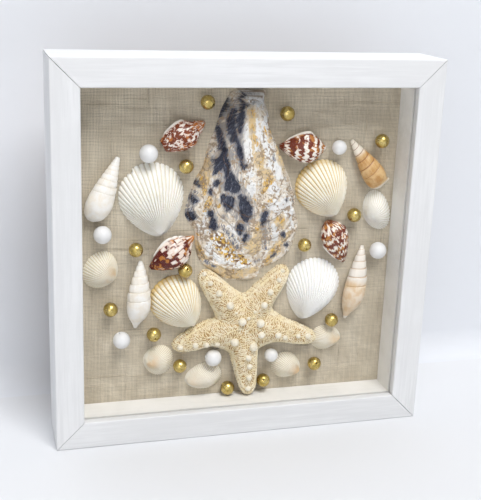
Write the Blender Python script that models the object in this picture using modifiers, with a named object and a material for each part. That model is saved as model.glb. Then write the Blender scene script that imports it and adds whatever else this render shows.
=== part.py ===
"""Square box frame with a seashell display, modelled as separate pieces.

The frame stands on its bottom rail and faces -Y. Four mitred rails carry the
glazing, a folded liner, a linen-covered pin board and the back panel, which
four turn buttons hold in. Shells and beads are fixed to the linen.
Lengths are in metres and angles in degrees.
"""

import math

import bmesh
import bpy
from mathutils import Matrix, Vector

# Frame rails
FRAME_WIDTH = 0.250
FRAME_HEIGHT = 0.250
FRAME_DEPTH = 0.042
RAIL_FACE_WIDTH = 0.018
RAIL_WALL = 0.011
LIP_DEPTH = 0.005
EDGE_RADIUS = 0.0010
EDGE_STEPS = 3

# Layers held behind the lip
GLAZING_THICKNESS = 0.0020
LINEN_THICKNESS = 0.0006
PIN_BOARD_THICKNESS = 0.0100
BACK_PANEL_THICKNESS = 0.0030
SEAT_GAP = 0.0003

# Turn buttons and their screws
BUTTON_LENGTH = 0.026
BUTTON_WIDTH = 0.009
BUTTON_THICKNESS = 0.0012
SCREW_RADIUS = 0.0015
SCREW_HEAD_RADIUS = 0.0032
SCREW_HEAD_HEIGHT = 0.0016
SCREW_GRIP = 0.010
ROUND_STEPS = 16

# Sawtooth hanger on the back panel
HANGER_LENGTH = 0.045
HANGER_HEIGHT = 0.009
HANGER_THICKNESS = 0.0008
HANGER_OFFSET = 0.0012
HANGER_EAR = 0.008
HANGER_TOOTH = 0.0025
HANGER_TEETH = 9
HANGER_BELOW_BUTTON = 0.006

# How far a cutter runs past the face that it enters, and how close the points of a turned shape are merged
OVERRUN = 0.001
MERGE_DISTANCE = 0.00001

# The layout of the frame and its layers follows from the sizes above
REAR_STACK = SEAT_GAP + BUTTON_THICKNESS + SEAT_GAP + SCREW_HEAD_HEIGHT
FRONT_Y = -(FRAME_DEPTH + REAR_STACK) / 2
REAR_Y = FRONT_Y + FRAME_DEPTH
MITRE_SETBACK = SEAT_GAP / math.sqrt(2)
MIDDLE_Z = FRAME_HEIGHT / 2
HALF_OPENING_X = FRAME_WIDTH / 2 - RAIL_FACE_WIDTH
HALF_OPENING_Z = FRAME_HEIGHT / 2 - RAIL_FACE_WIDTH
HALF_REBATE_X = FRAME_WIDTH / 2 - RAIL_WALL - SEAT_GAP
HALF_REBATE_Z = FRAME_HEIGHT / 2 - RAIL_WALL - SEAT_GAP
GLAZING_Y = FRONT_Y + LIP_DEPTH + SEAT_GAP
LINER_Y = GLAZING_Y + GLAZING_THICKNESS + SEAT_GAP
BACK_PANEL_Y = REAR_Y - BACK_PANEL_THICKNESS
PIN_BOARD_Y = BACK_PANEL_Y - SEAT_GAP - PIN_BOARD_THICKNESS
LINEN_Y = PIN_BOARD_Y - SEAT_GAP - LINEN_THICKNESS
LINER_DEPTH = LINEN_Y - SEAT_GAP - LINER_Y
BUTTON_PIVOT = RAIL_WALL / 2

# Places on the linen are shares of the half openings, lengths across it are shares of FIELD, the smaller of
# the two, and heights off it are shares of RISE.
FIELD = min(HALF_OPENING_X, HALF_OPENING_Z)
RISE = LINER_DEPTH

# Cockle valves: hinge x, z, far margin x, z, width, height, how far the hinge end is drawn in, ribs
COCKLE_SHARES = {
    "cockle_upper_left": (-0.505, 0.074, -0.608, 0.522, 0.405, 0.62, 0.34, 24),
    "cockle_upper_right": (0.614, 0.162, 0.436, 0.506, 0.348, 0.62, 0.34, 24),
    "cockle_lower_left": (-0.280, -0.518, -0.498, -0.210, 0.326, 0.62, 0.30, 24),
    "cockle_lower_right": (0.428, -0.522, 0.542, -0.120, 0.362, 0.62, 0.34, 24),
    "small_cockle_left_edge": (-0.773, -0.175, -0.955, -0.075, 0.240, 0.45, 0.10, 14),
    "small_cockle_right_edge": (0.812, 0.155, 0.976, 0.222, 0.272, 0.40, 0.05, 14),
    "small_cockle_low_left": (-0.604, -0.718, -0.418, -0.752, 0.202, 0.42, 0.10, 14),
    "small_cockle_bottom_left": (-0.335, -0.892, -0.098, -0.850, 0.180, 0.42, 0.12, 14),
    "small_cockle_bottom_right": (0.435, -0.882, 0.250, -0.797, 0.182, 0.42, 0.14, 14),
    "small_cockle_low_right": (0.710, -0.664, 0.500, -0.659, 0.172, 0.32, 0.12, 14),
}
VALVE_WALL_SHARE = 0.06
VALVE_FAN_SHARE = 0.08
VALVE_UMBO_SHARE = 0.88
VALVE_BEAK_SHARE = 0.26
VALVE_BEAK_SPREAD_SHARE = 0.34
VALVE_CROWD_SHARE = 0.45
VALVE_RIB_SHARE = 0.060
VALVE_SCALLOP_SHARE = 0.018
VALVE_DOME_POWER = 2.2
VALVE_PINCH_POWER = 3
VALVE_ROW_SHARES = (0.25, 0.50, 0.75, 0.92, 1.0)
VALVE_INNER_ROW_SHARES = (1.0, 0.60)

# Coiled shells: apex x, z, foot x, z, width, height, form
CONCH_SHARES = {
    "conch_top_left": (-0.247, 0.766, -0.500, 0.632, 0.165, 0.64, "barrel"),
    "conch_top_right": (0.530, 0.601, 0.224, 0.616, 0.175, 0.64, "biconic"),
    "conch_middle_left": (-0.296, 0.066, -0.566, -0.124, 0.176, 0.66, "biconic"),
    "conch_middle_right": (0.560, 0.134, 0.692, -0.142, 0.172, 0.64, "top_heavy"),
}
AUGER_SHARES = {
    "auger_top_left": (-0.760, 0.566, -0.926, 0.192, 0.156, 0.62, "round_foot"),
    "auger_low_left": (-0.624, -0.076, -0.656, -0.508, 0.146, 0.60, "spouted"),
    "auger_top_right": (0.690, 0.646, 0.904, 0.346, 0.140, 0.58, "round_foot"),
    "auger_low_right": (0.816, -0.040, 0.728, -0.534, 0.142, 0.62, "spouted"),
}
# Each form from foot to apex: place, radius
FORM_STATION_SHARES = {
    "barrel": ((0.0, 0.46), (0.15, 0.74), (0.32, 0.94), (0.50, 1.0), (0.64, 0.88), (0.74, 0.64), (0.88, 0.40),
               (1.0, 0.12)),
    "biconic": ((0.0, 0.14), (0.12, 0.46), (0.28, 0.78), (0.48, 1.0), (0.62, 0.97), (0.76, 0.72), (0.88, 0.38),
                (1.0, 0.08)),
    "top_heavy": ((0.0, 0.14), (0.12, 0.38), (0.28, 0.64), (0.48, 0.88), (0.66, 1.0), (0.82, 0.90), (0.93, 0.56),
                  (1.0, 0.14)),
    "round_foot": ((0.0, 0.28), (0.06, 0.64), (0.16, 0.90), (0.28, 1.0), (0.45, 0.90), (0.65, 0.66),
                   (0.85, 0.38), (1.0, 0.16)),
    "spouted": ((0.0, 0.12), (0.08, 0.34), (0.18, 0.70), (0.30, 0.95), (0.44, 1.0), (0.58, 0.90), (0.72, 0.70),
                (0.87, 0.44), (1.0, 0.14)),
}
CONCH_WHORLS = 4
AUGER_WHORLS = 6
CONCH_COIL_START_SHARE = 0.62
AUGER_COIL_START_SHARE = 0.33
CONCH_TAPER_SHARE = 0.25
AUGER_TAPER_SHARE = 0.30
CONCH_LIP_SHARE = 0.20
AUGER_LIP_SHARE = 0.06
CONCH_SUTURE_SHARE = 0.11
AUGER_SUTURE_SHARE = 0.08
COIL_SIDES = 12
COIL_ROWS = 3
FOOT_ROWS = 4

# Oyster outline, x, z and fold, clockwise from the top left, and where its hinge lies
OYSTER_OUTLINE_SHARES = (
    (-0.053, 0.963, 0.0), (-0.135, 0.868, 0.5), (-0.180, 0.730, -0.6), (-0.225, 0.610, 0.8),
    (-0.252, 0.500, -0.5), (-0.296, 0.422, 0.7), (-0.330, 0.330, -0.8), (-0.356, 0.224, 0.9),
    (-0.336, 0.164, -0.9), (-0.293, 0.104, 0.6), (-0.290, 0.034, -0.4), (-0.280, -0.027, 0.5),
    (-0.249, -0.100, -0.7), (-0.165, -0.170, 0.6), (-0.080, -0.222, -0.5), (0.040, -0.232, 0.7),
    (0.120, -0.220, -0.8), (0.140, -0.167, 0.4), (0.247, -0.120, -0.6), (0.310, -0.064, 0.8),
    (0.345, 0.000, -0.7), (0.370, 0.103, 0.9), (0.340, 0.190, -0.8), (0.345, 0.275, 0.5),
    (0.318, 0.340, -0.6), (0.306, 0.373, 0.3), (0.242, 0.523, -0.5), (0.193, 0.612, 0.7),
    (0.146, 0.738, -0.4), (0.137, 0.815, 0.5), (0.103, 0.919, -0.3), (0.103, 0.963, 0.0),
)
OYSTER_HINGE_SHARES = (0.030, 0.900)
# Each growth layer: its reach from the hinge, height at its foot and at its edge
OYSTER_LAYER_SHARES = (
    (1.00, 0.00, 0.14), (0.86, 0.26, 0.36), (0.70, 0.42, 0.51), (0.53, 0.54, 0.61), (0.35, 0.60, 0.66),
)
OYSTER_FRILL_SHARE = 0.020
OYSTER_FOLD_SHARE = 0.045
OYSTER_HINGE_RISE_SHARE = 0.46

# Starfish: centre, then arms as direction, reach and lift of the tip, and notches as direction and reach
STARFISH_CENTRE_SHARES = (0.020, -0.501)
STARFISH_ARM_SHARES = (
    (128.0, 0.430, 0.0), (50.5, 0.450, 0.0), (-16.0, 0.515, 0.26), (-84.0, 0.490, 0.40), (-161.0, 0.462, 0.0),
)
STARFISH_NOTCH_SHARES = ((168.0, 0.172), (86.0, 0.178), (17.5, 0.215), (-57.0, 0.235), (-110.0, 0.222))
# Across an arm: distance along it, and half its width
STARFISH_SIDE_SHARES = ((0.52, 0.084), (0.80, 0.062), (0.95, 0.040))
STARFISH_ROW_SHARES = (0.17, 0.29, 0.41, 0.52, 0.63, 0.74, 0.84, 0.92, 0.97, 1.0)
STARFISH_HEIGHT_SHARE = 0.66
STARFISH_KNOB_SHARE = 0.13

# Beads: x, z, tilt and turn of the bore
GOLD_BEAD_SHARES = (
    (-0.240, 0.890, 80, 20), (-0.362, 0.510, 75, 130), (-0.660, 0.007, 80, 60), (0.252, 0.820, 85, 40),
    (0.880, 0.645, 70, 100), (0.729, 0.174, 75, 75), (0.408, -0.009, 25, 0), (-0.813, -0.364, 80, 30),
    (-0.546, -0.545, 20, 10), (-0.355, -0.138, 30, 160), (-0.378, -0.770, 75, 90), (-0.062, -0.948, 80, 45),
    (0.622, -0.526, 85, 120), (0.522, -0.825, 25, 170), (0.175, -0.915, 30, 200),
)
GOLD_BEAD_SIZE_SHARE = 0.091
WHITE_BEAD_SHARES = (
    (-0.589, 0.593, 0.110), (-0.860, 0.112, 0.110), (0.598, 0.609, 0.091), (0.905, -0.064, 0.112),
    (-0.748, -0.564, 0.110), (-0.165, -0.728, 0.106), (0.222, -0.742, 0.091),
)
WHITE_BEAD_TILT = 80
WHITE_BEAD_TURN_STEP = 50
BEAD_BORE_SHARE = 0.13
BEAD_ARC_STEPS = 5
BEAD_SIDES = 10

# Colour, roughness and metallic value of each finish
FINISHES = {
    "white_paint": ((0.86, 0.86, 0.87), 0.55, 0.0),
    "liner_paper": ((0.74, 0.73, 0.70), 0.80, 0.0),
    "clear_sheet": ((0.90, 0.94, 0.95), 0.08, 0.0),
    "linen": ((0.50, 0.45, 0.37), 0.95, 0.0),
    "soft_board": ((0.62, 0.52, 0.38), 0.95, 0.0),
    "hardboard": ((0.34, 0.22, 0.13), 0.80, 0.0),
    "zinc": ((0.62, 0.63, 0.64), 0.35, 1.0),
    "oyster": ((0.72, 0.68, 0.62), 0.60, 0.0),
    "starfish": ((0.62, 0.50, 0.36), 0.85, 0.0),
    "cockle_white": ((0.86, 0.83, 0.75), 0.50, 0.0),
    "cockle_cream": ((0.85, 0.76, 0.55), 0.50, 0.0),
    "conch_mottle": ((0.50, 0.26, 0.16), 0.40, 0.0),
    "auger_white": ((0.86, 0.84, 0.80), 0.45, 0.0),
    "auger_tan": ((0.70, 0.48, 0.28), 0.40, 0.0),
    "gold_pearl": ((0.55, 0.46, 0.16), 0.25, 0.6),
    "white_pearl": ((0.88, 0.88, 0.88), 0.40, 0.0),
}


def clear_scene():
    """Remove what the default scene holds."""
    for item in list(bpy.data.objects):
        bpy.data.objects.remove(item)


def new_collection(name):
    """Return an empty collection that hangs from the scene."""
    collection = bpy.data.collections.new(name)
    bpy.context.scene.collection.children.link(collection)
    return collection


def finish(name):
    """Return the material called name, made on first use."""
    material = bpy.data.materials.get(name)
    if material is None:
        colour, roughness, metallic = FINISHES[name]
        material = bpy.data.materials.new(name)
        material.use_nodes = True
        shader = material.node_tree.nodes["Principled BSDF"]
        shader.inputs["Base Color"].default_value = (*colour, 1.0)
        shader.inputs["Roughness"].default_value = roughness
        shader.inputs["Metallic"].default_value = metallic
    return material


def add_object(name, data, finish_name, parent=None, smooth=None):
    """Place new data in the model's collection, shaded smooth below the angle smooth."""
    item = bpy.data.objects.new(name, data)
    PARTS.objects.link(item)
    data.materials.append(finish(finish_name))
    item.parent = parent
    if smooth is not None:
        data.shade_smooth()
        data.set_sharp_from_angle(angle=math.radians(smooth))
    return item


def add_empty(name, matrix, parent=None):
    """Add a guide that carries other objects."""
    item = bpy.data.objects.new(name, None)
    GUIDES.objects.link(item)
    item.parent = parent
    item.matrix_local = matrix
    return item


def to_mesh(name, bm):
    """Turn a bmesh into a mesh whose faces point out."""
    bmesh.ops.recalc_face_normals(bm, faces=bm.faces)
    mesh = bpy.data.meshes.new(name)
    bm.to_mesh(mesh)
    bm.free()
    return mesh


def box_mesh(name, size):
    """A box of this size about its own centre."""
    bm = bmesh.new()
    bmesh.ops.create_cube(bm, size=1.0)
    bmesh.ops.scale(bm, vec=size, verts=bm.verts)
    return to_mesh(name, bm)


def loft_mesh(name, rings, first=None, last=None):
    """Skin closed rings of equal count. Each end closes on a point, or on a flat cap where it is None."""
    bm = bmesh.new()
    loops = [[bm.verts.new(point) for point in ring] for ring in rings]
    for lower, upper in zip(loops, loops[1:]):
        for i, corner in enumerate(lower):
            j = (i + 1) % len(lower)
            bm.faces.new((corner, lower[j], upper[j], upper[i]))
    for loop, point in ((loops[0], first), (loops[-1], last)):
        if point is None:
            bm.faces.new(loop)
            continue
        tip = bm.verts.new(point)
        for i, corner in enumerate(loop):
            bm.faces.new((corner, loop[(i + 1) % len(loop)], tip))
    return to_mesh(name, bm)


def plate_curve(name, outlines, thickness):
    """A flat plate from closed outlines in its own XY plane. The inner ones are holes."""
    curve = bpy.data.curves.new(name, "CURVE")
    curve.dimensions = "2D"
    curve.fill_mode = "BOTH"
    curve.extrude = thickness / 2
    for outline in outlines:
        spline = curve.splines.new("POLY")
        spline.points.add(len(outline) - 1)
        for point, (x, y) in zip(spline.points, outline):
            point.co = (x, y, 0, 1)
        spline.use_cyclic_u = True
    return curve


def turned_object(name, profile, closed, steps, finish_name, parent, smooth):
    """Spin a profile of (radius, height) points about Z. It runs down its outer side."""
    mesh = bpy.data.meshes.new(name)
    edges = [(i, i + 1) for i in range(len(profile) - 1)]
    if closed:
        edges.append((len(profile) - 1, 0))
    mesh.from_pydata([(radius, 0, height) for radius, height in profile], edges, [])
    item = add_object(name, mesh, finish_name, parent)
    screw = item.modifiers.new("turn", "SCREW")
    screw.axis = "Z"
    screw.steps = screw.render_steps = steps
    screw.use_merge_vertices = True
    screw.merge_threshold = MERGE_DISTANCE
    screw.use_smooth_shade = smooth
    return item


def arc_points(centre, radius, start, stop, steps):
    """Points along an arc, with both ends. Angles are in degrees."""
    points = []
    for i in range(steps + 1):
        angle = math.radians(start + (stop - start) * i / steps)
        points.append((centre[0] + radius * math.cos(angle), centre[1] + radius * math.sin(angle)))
    return points


def rounded_outline(corners):
    """Outline through right-angled corners (x, y, radius). A radius of zero leaves the corner sharp."""
    outline = []
    for i, (x, y, radius) in enumerate(corners):
        if radius == 0:
            outline.append((x, y))
            continue
        here = Vector((x, y))
        before = (Vector(corners[i - 1][:2]) - here).normalized()
        after = (Vector(corners[(i + 1) % len(corners)][:2]) - here).normalized()
        centre = here + radius * (before + after)
        for step in range(EDGE_STEPS + 1):
            angle = math.pi / 2 * step / EDGE_STEPS
            outline.append(tuple(centre - radius * (math.cos(angle) * after + math.sin(angle) * before)))
    return outline


def cut_hole(target, name, radius, depth, matrix):
    """Drill a blind hole down the local -Z of matrix, from its origin."""
    bm = bmesh.new()
    bmesh.ops.create_cone(bm, cap_ends=True, segments=ROUND_STEPS, radius1=radius, radius2=radius,
                          depth=depth + OVERRUN)
    bmesh.ops.translate(bm, vec=(0, 0, (OVERRUN - depth) / 2), verts=bm.verts)
    cutter = bpy.data.objects.new(name, to_mesh(name, bm))
    CUTTERS.objects.link(cutter)
    cutter.matrix_world = matrix
    cutter.hide_render = True
    cutter.display_type = "WIRE"
    boolean = target.modifiers.new(name, "BOOLEAN")
    boolean.operation = "DIFFERENCE"
    boolean.object = cutter


def side_matrix(inward, distance, y):
    """Axes at the middle of a frame side: X along the rail, Y into the frame, Z to the rear."""
    rear = Vector((0, 1, 0))
    middle = Vector((0, y, MIDDLE_Z)) - inward * distance
    return Matrix.Translation(middle) @ Matrix((inward.cross(rear), inward, rear)).transposed().to_4x4()


SIDES = {
    "top": (Vector((0, 0, -1)), FRAME_WIDTH, FRAME_HEIGHT),
    "bottom": (Vector((0, 0, 1)), FRAME_WIDTH, FRAME_HEIGHT),
    "left": (Vector((1, 0, 0)), FRAME_HEIGHT, FRAME_WIDTH),
    "right": (Vector((-1, 0, 0)), FRAME_HEIGHT, FRAME_WIDTH),
}


def build_rail(side, inward, length, span):
    """One rail: an L section with a front lip, mitred at both ends and drilled for its screw."""
    section = rounded_outline((
        (0, 0, EDGE_RADIUS), (RAIL_FACE_WIDTH, 0, EDGE_RADIUS), (RAIL_FACE_WIDTH, LIP_DEPTH, 0),
        (RAIL_WALL, LIP_DEPTH, 0), (RAIL_WALL, FRAME_DEPTH, 0), (0, FRAME_DEPTH, EDGE_RADIUS),
    ))
    rings = []
    for end in (-1, 1):
        rings.append([(end * (length / 2 - u - MITRE_SETBACK), u, v) for u, v in section])
    rail = add_object(f"frame_rail_{side}", loft_mesh("rail", rings), "white_paint", smooth=40)
    rail.matrix_world = side_matrix(inward, span / 2, FRONT_Y)
    hole = side_matrix(inward, span / 2 - BUTTON_PIVOT, REAR_Y)
    cut_hole(rail, f"pilot_hole_{side}", SCREW_RADIUS + SEAT_GAP, SCREW_GRIP + SEAT_GAP, hole)


def build_turn_button(side, inward, span):
    """A turn button on its pivot, and the screw that it swivels on."""
    pivot = add_empty(f"pivot_{side}", side_matrix(inward, span / 2 - BUTTON_PIVOT, REAR_Y + SEAT_GAP))
    end_radius = BUTTON_WIDTH / 2
    reach = BUTTON_LENGTH - BUTTON_WIDTH
    outline = arc_points((0, 0), end_radius, 180, 360, ROUND_STEPS // 2)
    outline += arc_points((0, reach), end_radius, 0, 180, ROUND_STEPS // 2)
    hole = arc_points((0, 0), SCREW_RADIUS + SEAT_GAP, 0, 360, ROUND_STEPS)[:-1]
    plate = plate_curve("turn_button", (outline, hole), BUTTON_THICKNESS)
    button = add_object(f"turn_button_{side}", plate, "zinc", pivot)
    button.location.z = BUTTON_THICKNESS / 2
    seat = BUTTON_THICKNESS + SEAT_GAP
    foot = -SEAT_GAP - SCREW_GRIP
    profile = [
        (0, seat + SCREW_HEAD_HEIGHT), (SCREW_HEAD_RADIUS / 2, seat + SCREW_HEAD_HEIGHT),
        (SCREW_HEAD_RADIUS, seat + SCREW_HEAD_HEIGHT / 2), (SCREW_HEAD_RADIUS, seat), (SCREW_RADIUS, seat),
        (SCREW_RADIUS, foot + SCREW_RADIUS), (0, foot),
    ]
    turned_object(f"turn_button_screw_{side}", profile, False, ROUND_STEPS, "zinc", pivot, False)


def build_layers():
    """Glazing, liner, linen cover, pin board and back panel, from front to rear."""
    rebate = (2 * HALF_REBATE_X, 2 * HALF_REBATE_Z)
    glazing = add_object("front_glazing", box_mesh("glazing", (rebate[0], GLAZING_THICKNESS, rebate[1])),
                         "clear_sheet")
    glazing.location = (0, GLAZING_Y + GLAZING_THICKNESS / 2, MIDDLE_Z)
    build_liner()
    build_linen_cover()
    inset = LINEN_THICKNESS + SEAT_GAP
    board_size = (rebate[0] - 2 * inset, PIN_BOARD_THICKNESS, rebate[1] - 2 * inset)
    board = add_object("pin_board", box_mesh("pin_board", board_size), "soft_board")
    board.location = (0, PIN_BOARD_Y + PIN_BOARD_THICKNESS / 2, MIDDLE_Z)
    panel = add_object("back_panel", box_mesh("back_panel", (rebate[0], BACK_PANEL_THICKNESS, rebate[1])),
                       "hardboard")
    panel.location = (0, BACK_PANEL_Y + BACK_PANEL_THICKNESS / 2, MIDDLE_Z)


def build_liner():
    """One strip folded at three corners. Its ends meet at the upper left with a mitred joint."""
    ox, oz, ix, iz = HALF_REBATE_X, HALF_REBATE_Z, HALF_OPENING_X, HALF_OPENING_Z
    joint = 2 * MITRE_SETBACK
    outline = [
        (joint - ox, oz), (ox, oz), (ox, -oz), (-ox, -oz), (-ox, oz),
        (-ix, iz), (-ix, -iz), (ix, -iz), (ix, iz), (joint - ix, iz),
    ]
    liner = add_object("box_liner", plate_curve("liner", (outline,), LINER_DEPTH), "liner_paper")
    liner.matrix_world = upright(LINER_Y + LINER_DEPTH / 2)


def build_linen_cover():
    """Linen drawn over the face and edges of the pin board, open at the back."""
    depth = BACK_PANEL_Y - SEAT_GAP - LINEN_Y
    bm = bmesh.new()
    bmesh.ops.create_cube(bm, size=1.0)
    bmesh.ops.scale(bm, vec=(2 * HALF_REBATE_X, 2 * HALF_REBATE_Z, depth), verts=bm.verts)
    rear = min(bm.faces, key=lambda face: face.calc_center_median().z)
    bmesh.ops.delete(bm, geom=[rear], context="FACES_ONLY")
    mesh = bpy.data.meshes.new("linen_cover")
    bm.to_mesh(mesh)
    bm.free()
    cover = add_object("linen_cover", mesh, "linen")
    cover.matrix_world = upright(LINEN_Y + depth / 2)
    wall = cover.modifiers.new("cloth", "SOLIDIFY")
    wall.thickness = LINEN_THICKNESS
    wall.offset = -1
    wall.use_even_offset = True


def build_hanger():
    """A strip bent forward between its ears, with teeth along the lower edge of the raised part."""
    pitch = (HANGER_LENGTH - 2 * HANGER_EAR) / (2 * HANGER_TEETH)
    half = HANGER_LENGTH / 2
    bend = HANGER_EAR / 4
    stations = [(-half, 0, 0), (HANGER_EAR - bend - half, 0, 0)]
    for i in range(2 * HANGER_TEETH + 1):
        stations.append((HANGER_EAR + i * pitch - half, HANGER_OFFSET, HANGER_TOOTH * (i % 2)))
    stations += [(half - HANGER_EAR + bend, 0, 0), (half, 0, 0)]
    rings = []
    for x, rise, notch in stations:
        front, rear = rise, rise + HANGER_THICKNESS
        low, high = notch - HANGER_HEIGHT / 2, HANGER_HEIGHT / 2
        rings.append([(x, front, low), (x, front, high), (x, rear, high), (x, rear, low)])
    hanger = add_object("sawtooth_hanger", loft_mesh("hanger", rings), "zinc")
    button_end = FRAME_HEIGHT - BUTTON_PIVOT - BUTTON_LENGTH + BUTTON_WIDTH / 2
    hanger.location = (0, REAR_Y + SEAT_GAP, button_end - HANGER_BELOW_BUTTON - HANGER_HEIGHT / 2)


def upright(y):
    """Axes on the middle of the frame at depth y: X right, Y up, Z towards the front."""
    return Matrix.Translation((0, y, MIDDLE_Z)) @ Matrix.Rotation(math.radians(90), 4, "X")


def on_linen(x_share, z_share, height=SEAT_GAP):
    """A place on the linen face, from shares of the half openings."""
    return Vector((x_share * HALF_OPENING_X, z_share * HALF_OPENING_Z, height))


def lay_shell(item, start, end):
    """Lay a shell on the linen so that its Y axis runs from start towards end, about their midpoint."""
    middle = (Vector(start) + Vector(end)) / 2
    along = Vector(end) - Vector(start)
    item.location = on_linen(middle.x, middle.y)
    item.rotation_euler.z = math.atan2(along.y, along.x) - math.pi / 2


def cockle_mesh(name, length, width, height, pinch, ribs):
    """A domed valve, hollow beneath: rings run from the umbo to the scalloped margin and back inside."""
    wall = VALVE_WALL_SHARE * length
    half_length, half_width = length / 2, width / 2
    columns = 2 * ribs

    def fan(towards_hinge):
        drawn_in = pinch * ((1 + towards_hinge) / 2) ** VALVE_PINCH_POWER
        return 1 - VALVE_FAN_SHARE * towards_hinge - drawn_in

    def margin(i, inset):
        turn = 2 * math.pi * i / columns
        angle = turn + VALVE_CROWD_SHARE * math.sin(turn)
        x = math.sin(angle) * fan(math.cos(angle)) * (half_width - inset)
        return Vector((x, -math.cos(angle) * (half_length - inset)))

    def dome(point, inset):
        across = point.x / (fan(-point.y / half_length) * (half_width - inset))
        along = point.y / (half_length - inset)
        return max(0.0, 1 - math.hypot(across, along) ** VALVE_DOME_POWER)

    umbo = Vector((0, -VALVE_UMBO_SHARE * half_length))
    rings = []
    for row in VALVE_ROW_SHARES:
        beak = VALVE_BEAK_SHARE * math.exp(-(row / VALVE_BEAK_SPREAD_SHARE) ** 2)
        ring = []
        for i in range(columns):
            crest = row if i % 2 else -row
            edge = margin(i, 0) * (1 + VALVE_SCALLOP_SHARE * crest)
            point = umbo.lerp(edge, row)
            rise = height * (dome(point, 0) * (1 + VALVE_RIB_SHARE * crest) + beak) if row < 1 else 0
            ring.append((point.x, point.y, rise))
        rings.append(ring)
    hollow = Vector((0, 0))
    for row in VALVE_INNER_ROW_SHARES:
        ring = []
        for i in range(columns):
            point = hollow.lerp(margin(i, wall), row)
            rise = (height - wall) * dome(point, wall) if row < 1 else 0
            ring.append((point.x, point.y, rise))
        rings.append(ring)
    top = (umbo.x, umbo.y, height * (dome(umbo, 0) + VALVE_BEAK_SHARE))
    return loft_mesh(name, rings, first=top, last=(0, 0, height - wall))


def along_stations(stations, place_share):
    """Read a table of (place, value) shares with straight runs between its rows."""
    for (low, low_value), (high, high_value) in zip(stations, stations[1:]):
        if place_share <= high:
            return low_value + (high_value - low_value) * (place_share - low) / (high - low)
    return stations[-1][1]


def coiled_mesh(name, length, width, height, stations, whorls, start, taper, lip, suture):
    """A coiled shell, skinned as one helical band from its mouth to its apex.

    Column k stands k sides round the coil. Its rows climb the whorl, and above the last row comes the
    first row of the column one turn on, so the band is joined to itself along the suture.
    """
    last = whorls * COIL_SIDES

    def surface(k, row_share, place_share):
        angle = math.pi - 2 * math.pi * k / COIL_SIDES
        radius = along_stations(stations, place_share)
        bulge = radius * (1 if row_share else 1 - suture)
        flare = lip * max(0.0, 1 - k / COIL_SIDES) ** 2 * (1 - row_share / 2)
        x = width / 2 * bulge * (1 + flare) * math.cos(angle)
        z = height / 2 * (radius + bulge * math.sin(angle))
        return (x, length * (place_share - 1 / 2), max(0.0, z))

    def climb(turns):
        share = (1 - taper ** (turns / (whorls + 1))) / (1 - taper)
        return start + (1 - start) * share

    bm = bmesh.new()
    grid = []
    for k in range(last + 1):
        column = []
        for row in range(COIL_ROWS):
            turns = k / COIL_SIDES + row / COIL_ROWS
            column.append(bm.verts.new(surface(k, row / COIL_ROWS, climb(turns))))
        grid.append(column)
    feet = []
    for k in range(COIL_SIDES + 1):
        top = climb(k / COIL_SIDES)
        steps = [(row + 1) / (FOOT_ROWS + 1) for row in range(FOOT_ROWS)]
        feet.append([bm.verts.new(surface(k, 1 - step, top * step)) for step in steps])
    apex_radius = along_stations(stations, 1.0)
    apex = bm.verts.new((0, length / 2, height / 2 * apex_radius))
    foot = bm.verts.new((0, -length / 2, height / 2 * along_stations(stations, 0.0)))

    def corner(k, row):
        if row < 0:
            return feet[k][row + FOOT_ROWS] if row >= -FOOT_ROWS else foot
        if row < COIL_ROWS:
            return grid[k][row]
        return grid[k + COIL_SIDES][0] if k + COIL_SIDES <= last else apex

    for k in range(last):
        lowest = -FOOT_ROWS - 1 if k < COIL_SIDES else 0
        for row in range(lowest, COIL_ROWS):
            around = (corner(k, row), corner(k + 1, row), corner(k + 1, row + 1), corner(k, row + 1))
            bm.faces.new(tuple(dict.fromkeys(around)))
    mouth = [foot, *feet[0], *grid[0], grid[COIL_SIDES][0], *reversed(feet[COIL_SIDES])]
    bm.faces.new(mouth)
    bm.faces.new((*grid[last], apex))
    return to_mesh(name, bm)


def build_cockles(linen):
    """Ten ribbed valves, hinge end first."""
    for name, (hx, hz, fx, fz, width, height, pinch, ribs) in COCKLE_SHARES.items():
        length = math.dist((hx, hz), (fx, fz)) * FIELD
        mesh = cockle_mesh(name, length, width * FIELD, height * RISE, pinch, ribs)
        colour = "cockle_cream" if name in ("cockle_upper_right", "cockle_lower_left") else "cockle_white"
        lay_shell(add_object(name, mesh, colour, linen, smooth=60), (hx, hz), (fx, fz))


def build_coiled_shells(linen):
    """Four conchs and four augers, foot end first."""
    for name, (ax, az, fx, fz, width, height, form) in CONCH_SHARES.items():
        length = math.dist((ax, az), (fx, fz)) * FIELD
        mesh = coiled_mesh(name, length, width * FIELD, height * RISE, FORM_STATION_SHARES[form],
                           CONCH_WHORLS, CONCH_COIL_START_SHARE, CONCH_TAPER_SHARE, CONCH_LIP_SHARE,
                           CONCH_SUTURE_SHARE)
        lay_shell(add_object(name, mesh, "conch_mottle", linen, smooth=50), (fx, fz), (ax, az))
    for name, (ax, az, fx, fz, width, height, form) in AUGER_SHARES.items():
        length = math.dist((ax, az), (fx, fz)) * FIELD
        mesh = coiled_mesh(name, length, width * FIELD, height * RISE, FORM_STATION_SHARES[form],
                           AUGER_WHORLS, AUGER_COIL_START_SHARE, AUGER_TAPER_SHARE, AUGER_LIP_SHARE,
                           AUGER_SUTURE_SHARE)
        colour = "auger_tan" if name.endswith("right") else "auger_white"
        lay_shell(add_object(name, mesh, colour, linen, smooth=50), (fx, fz), (ax, az))


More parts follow.
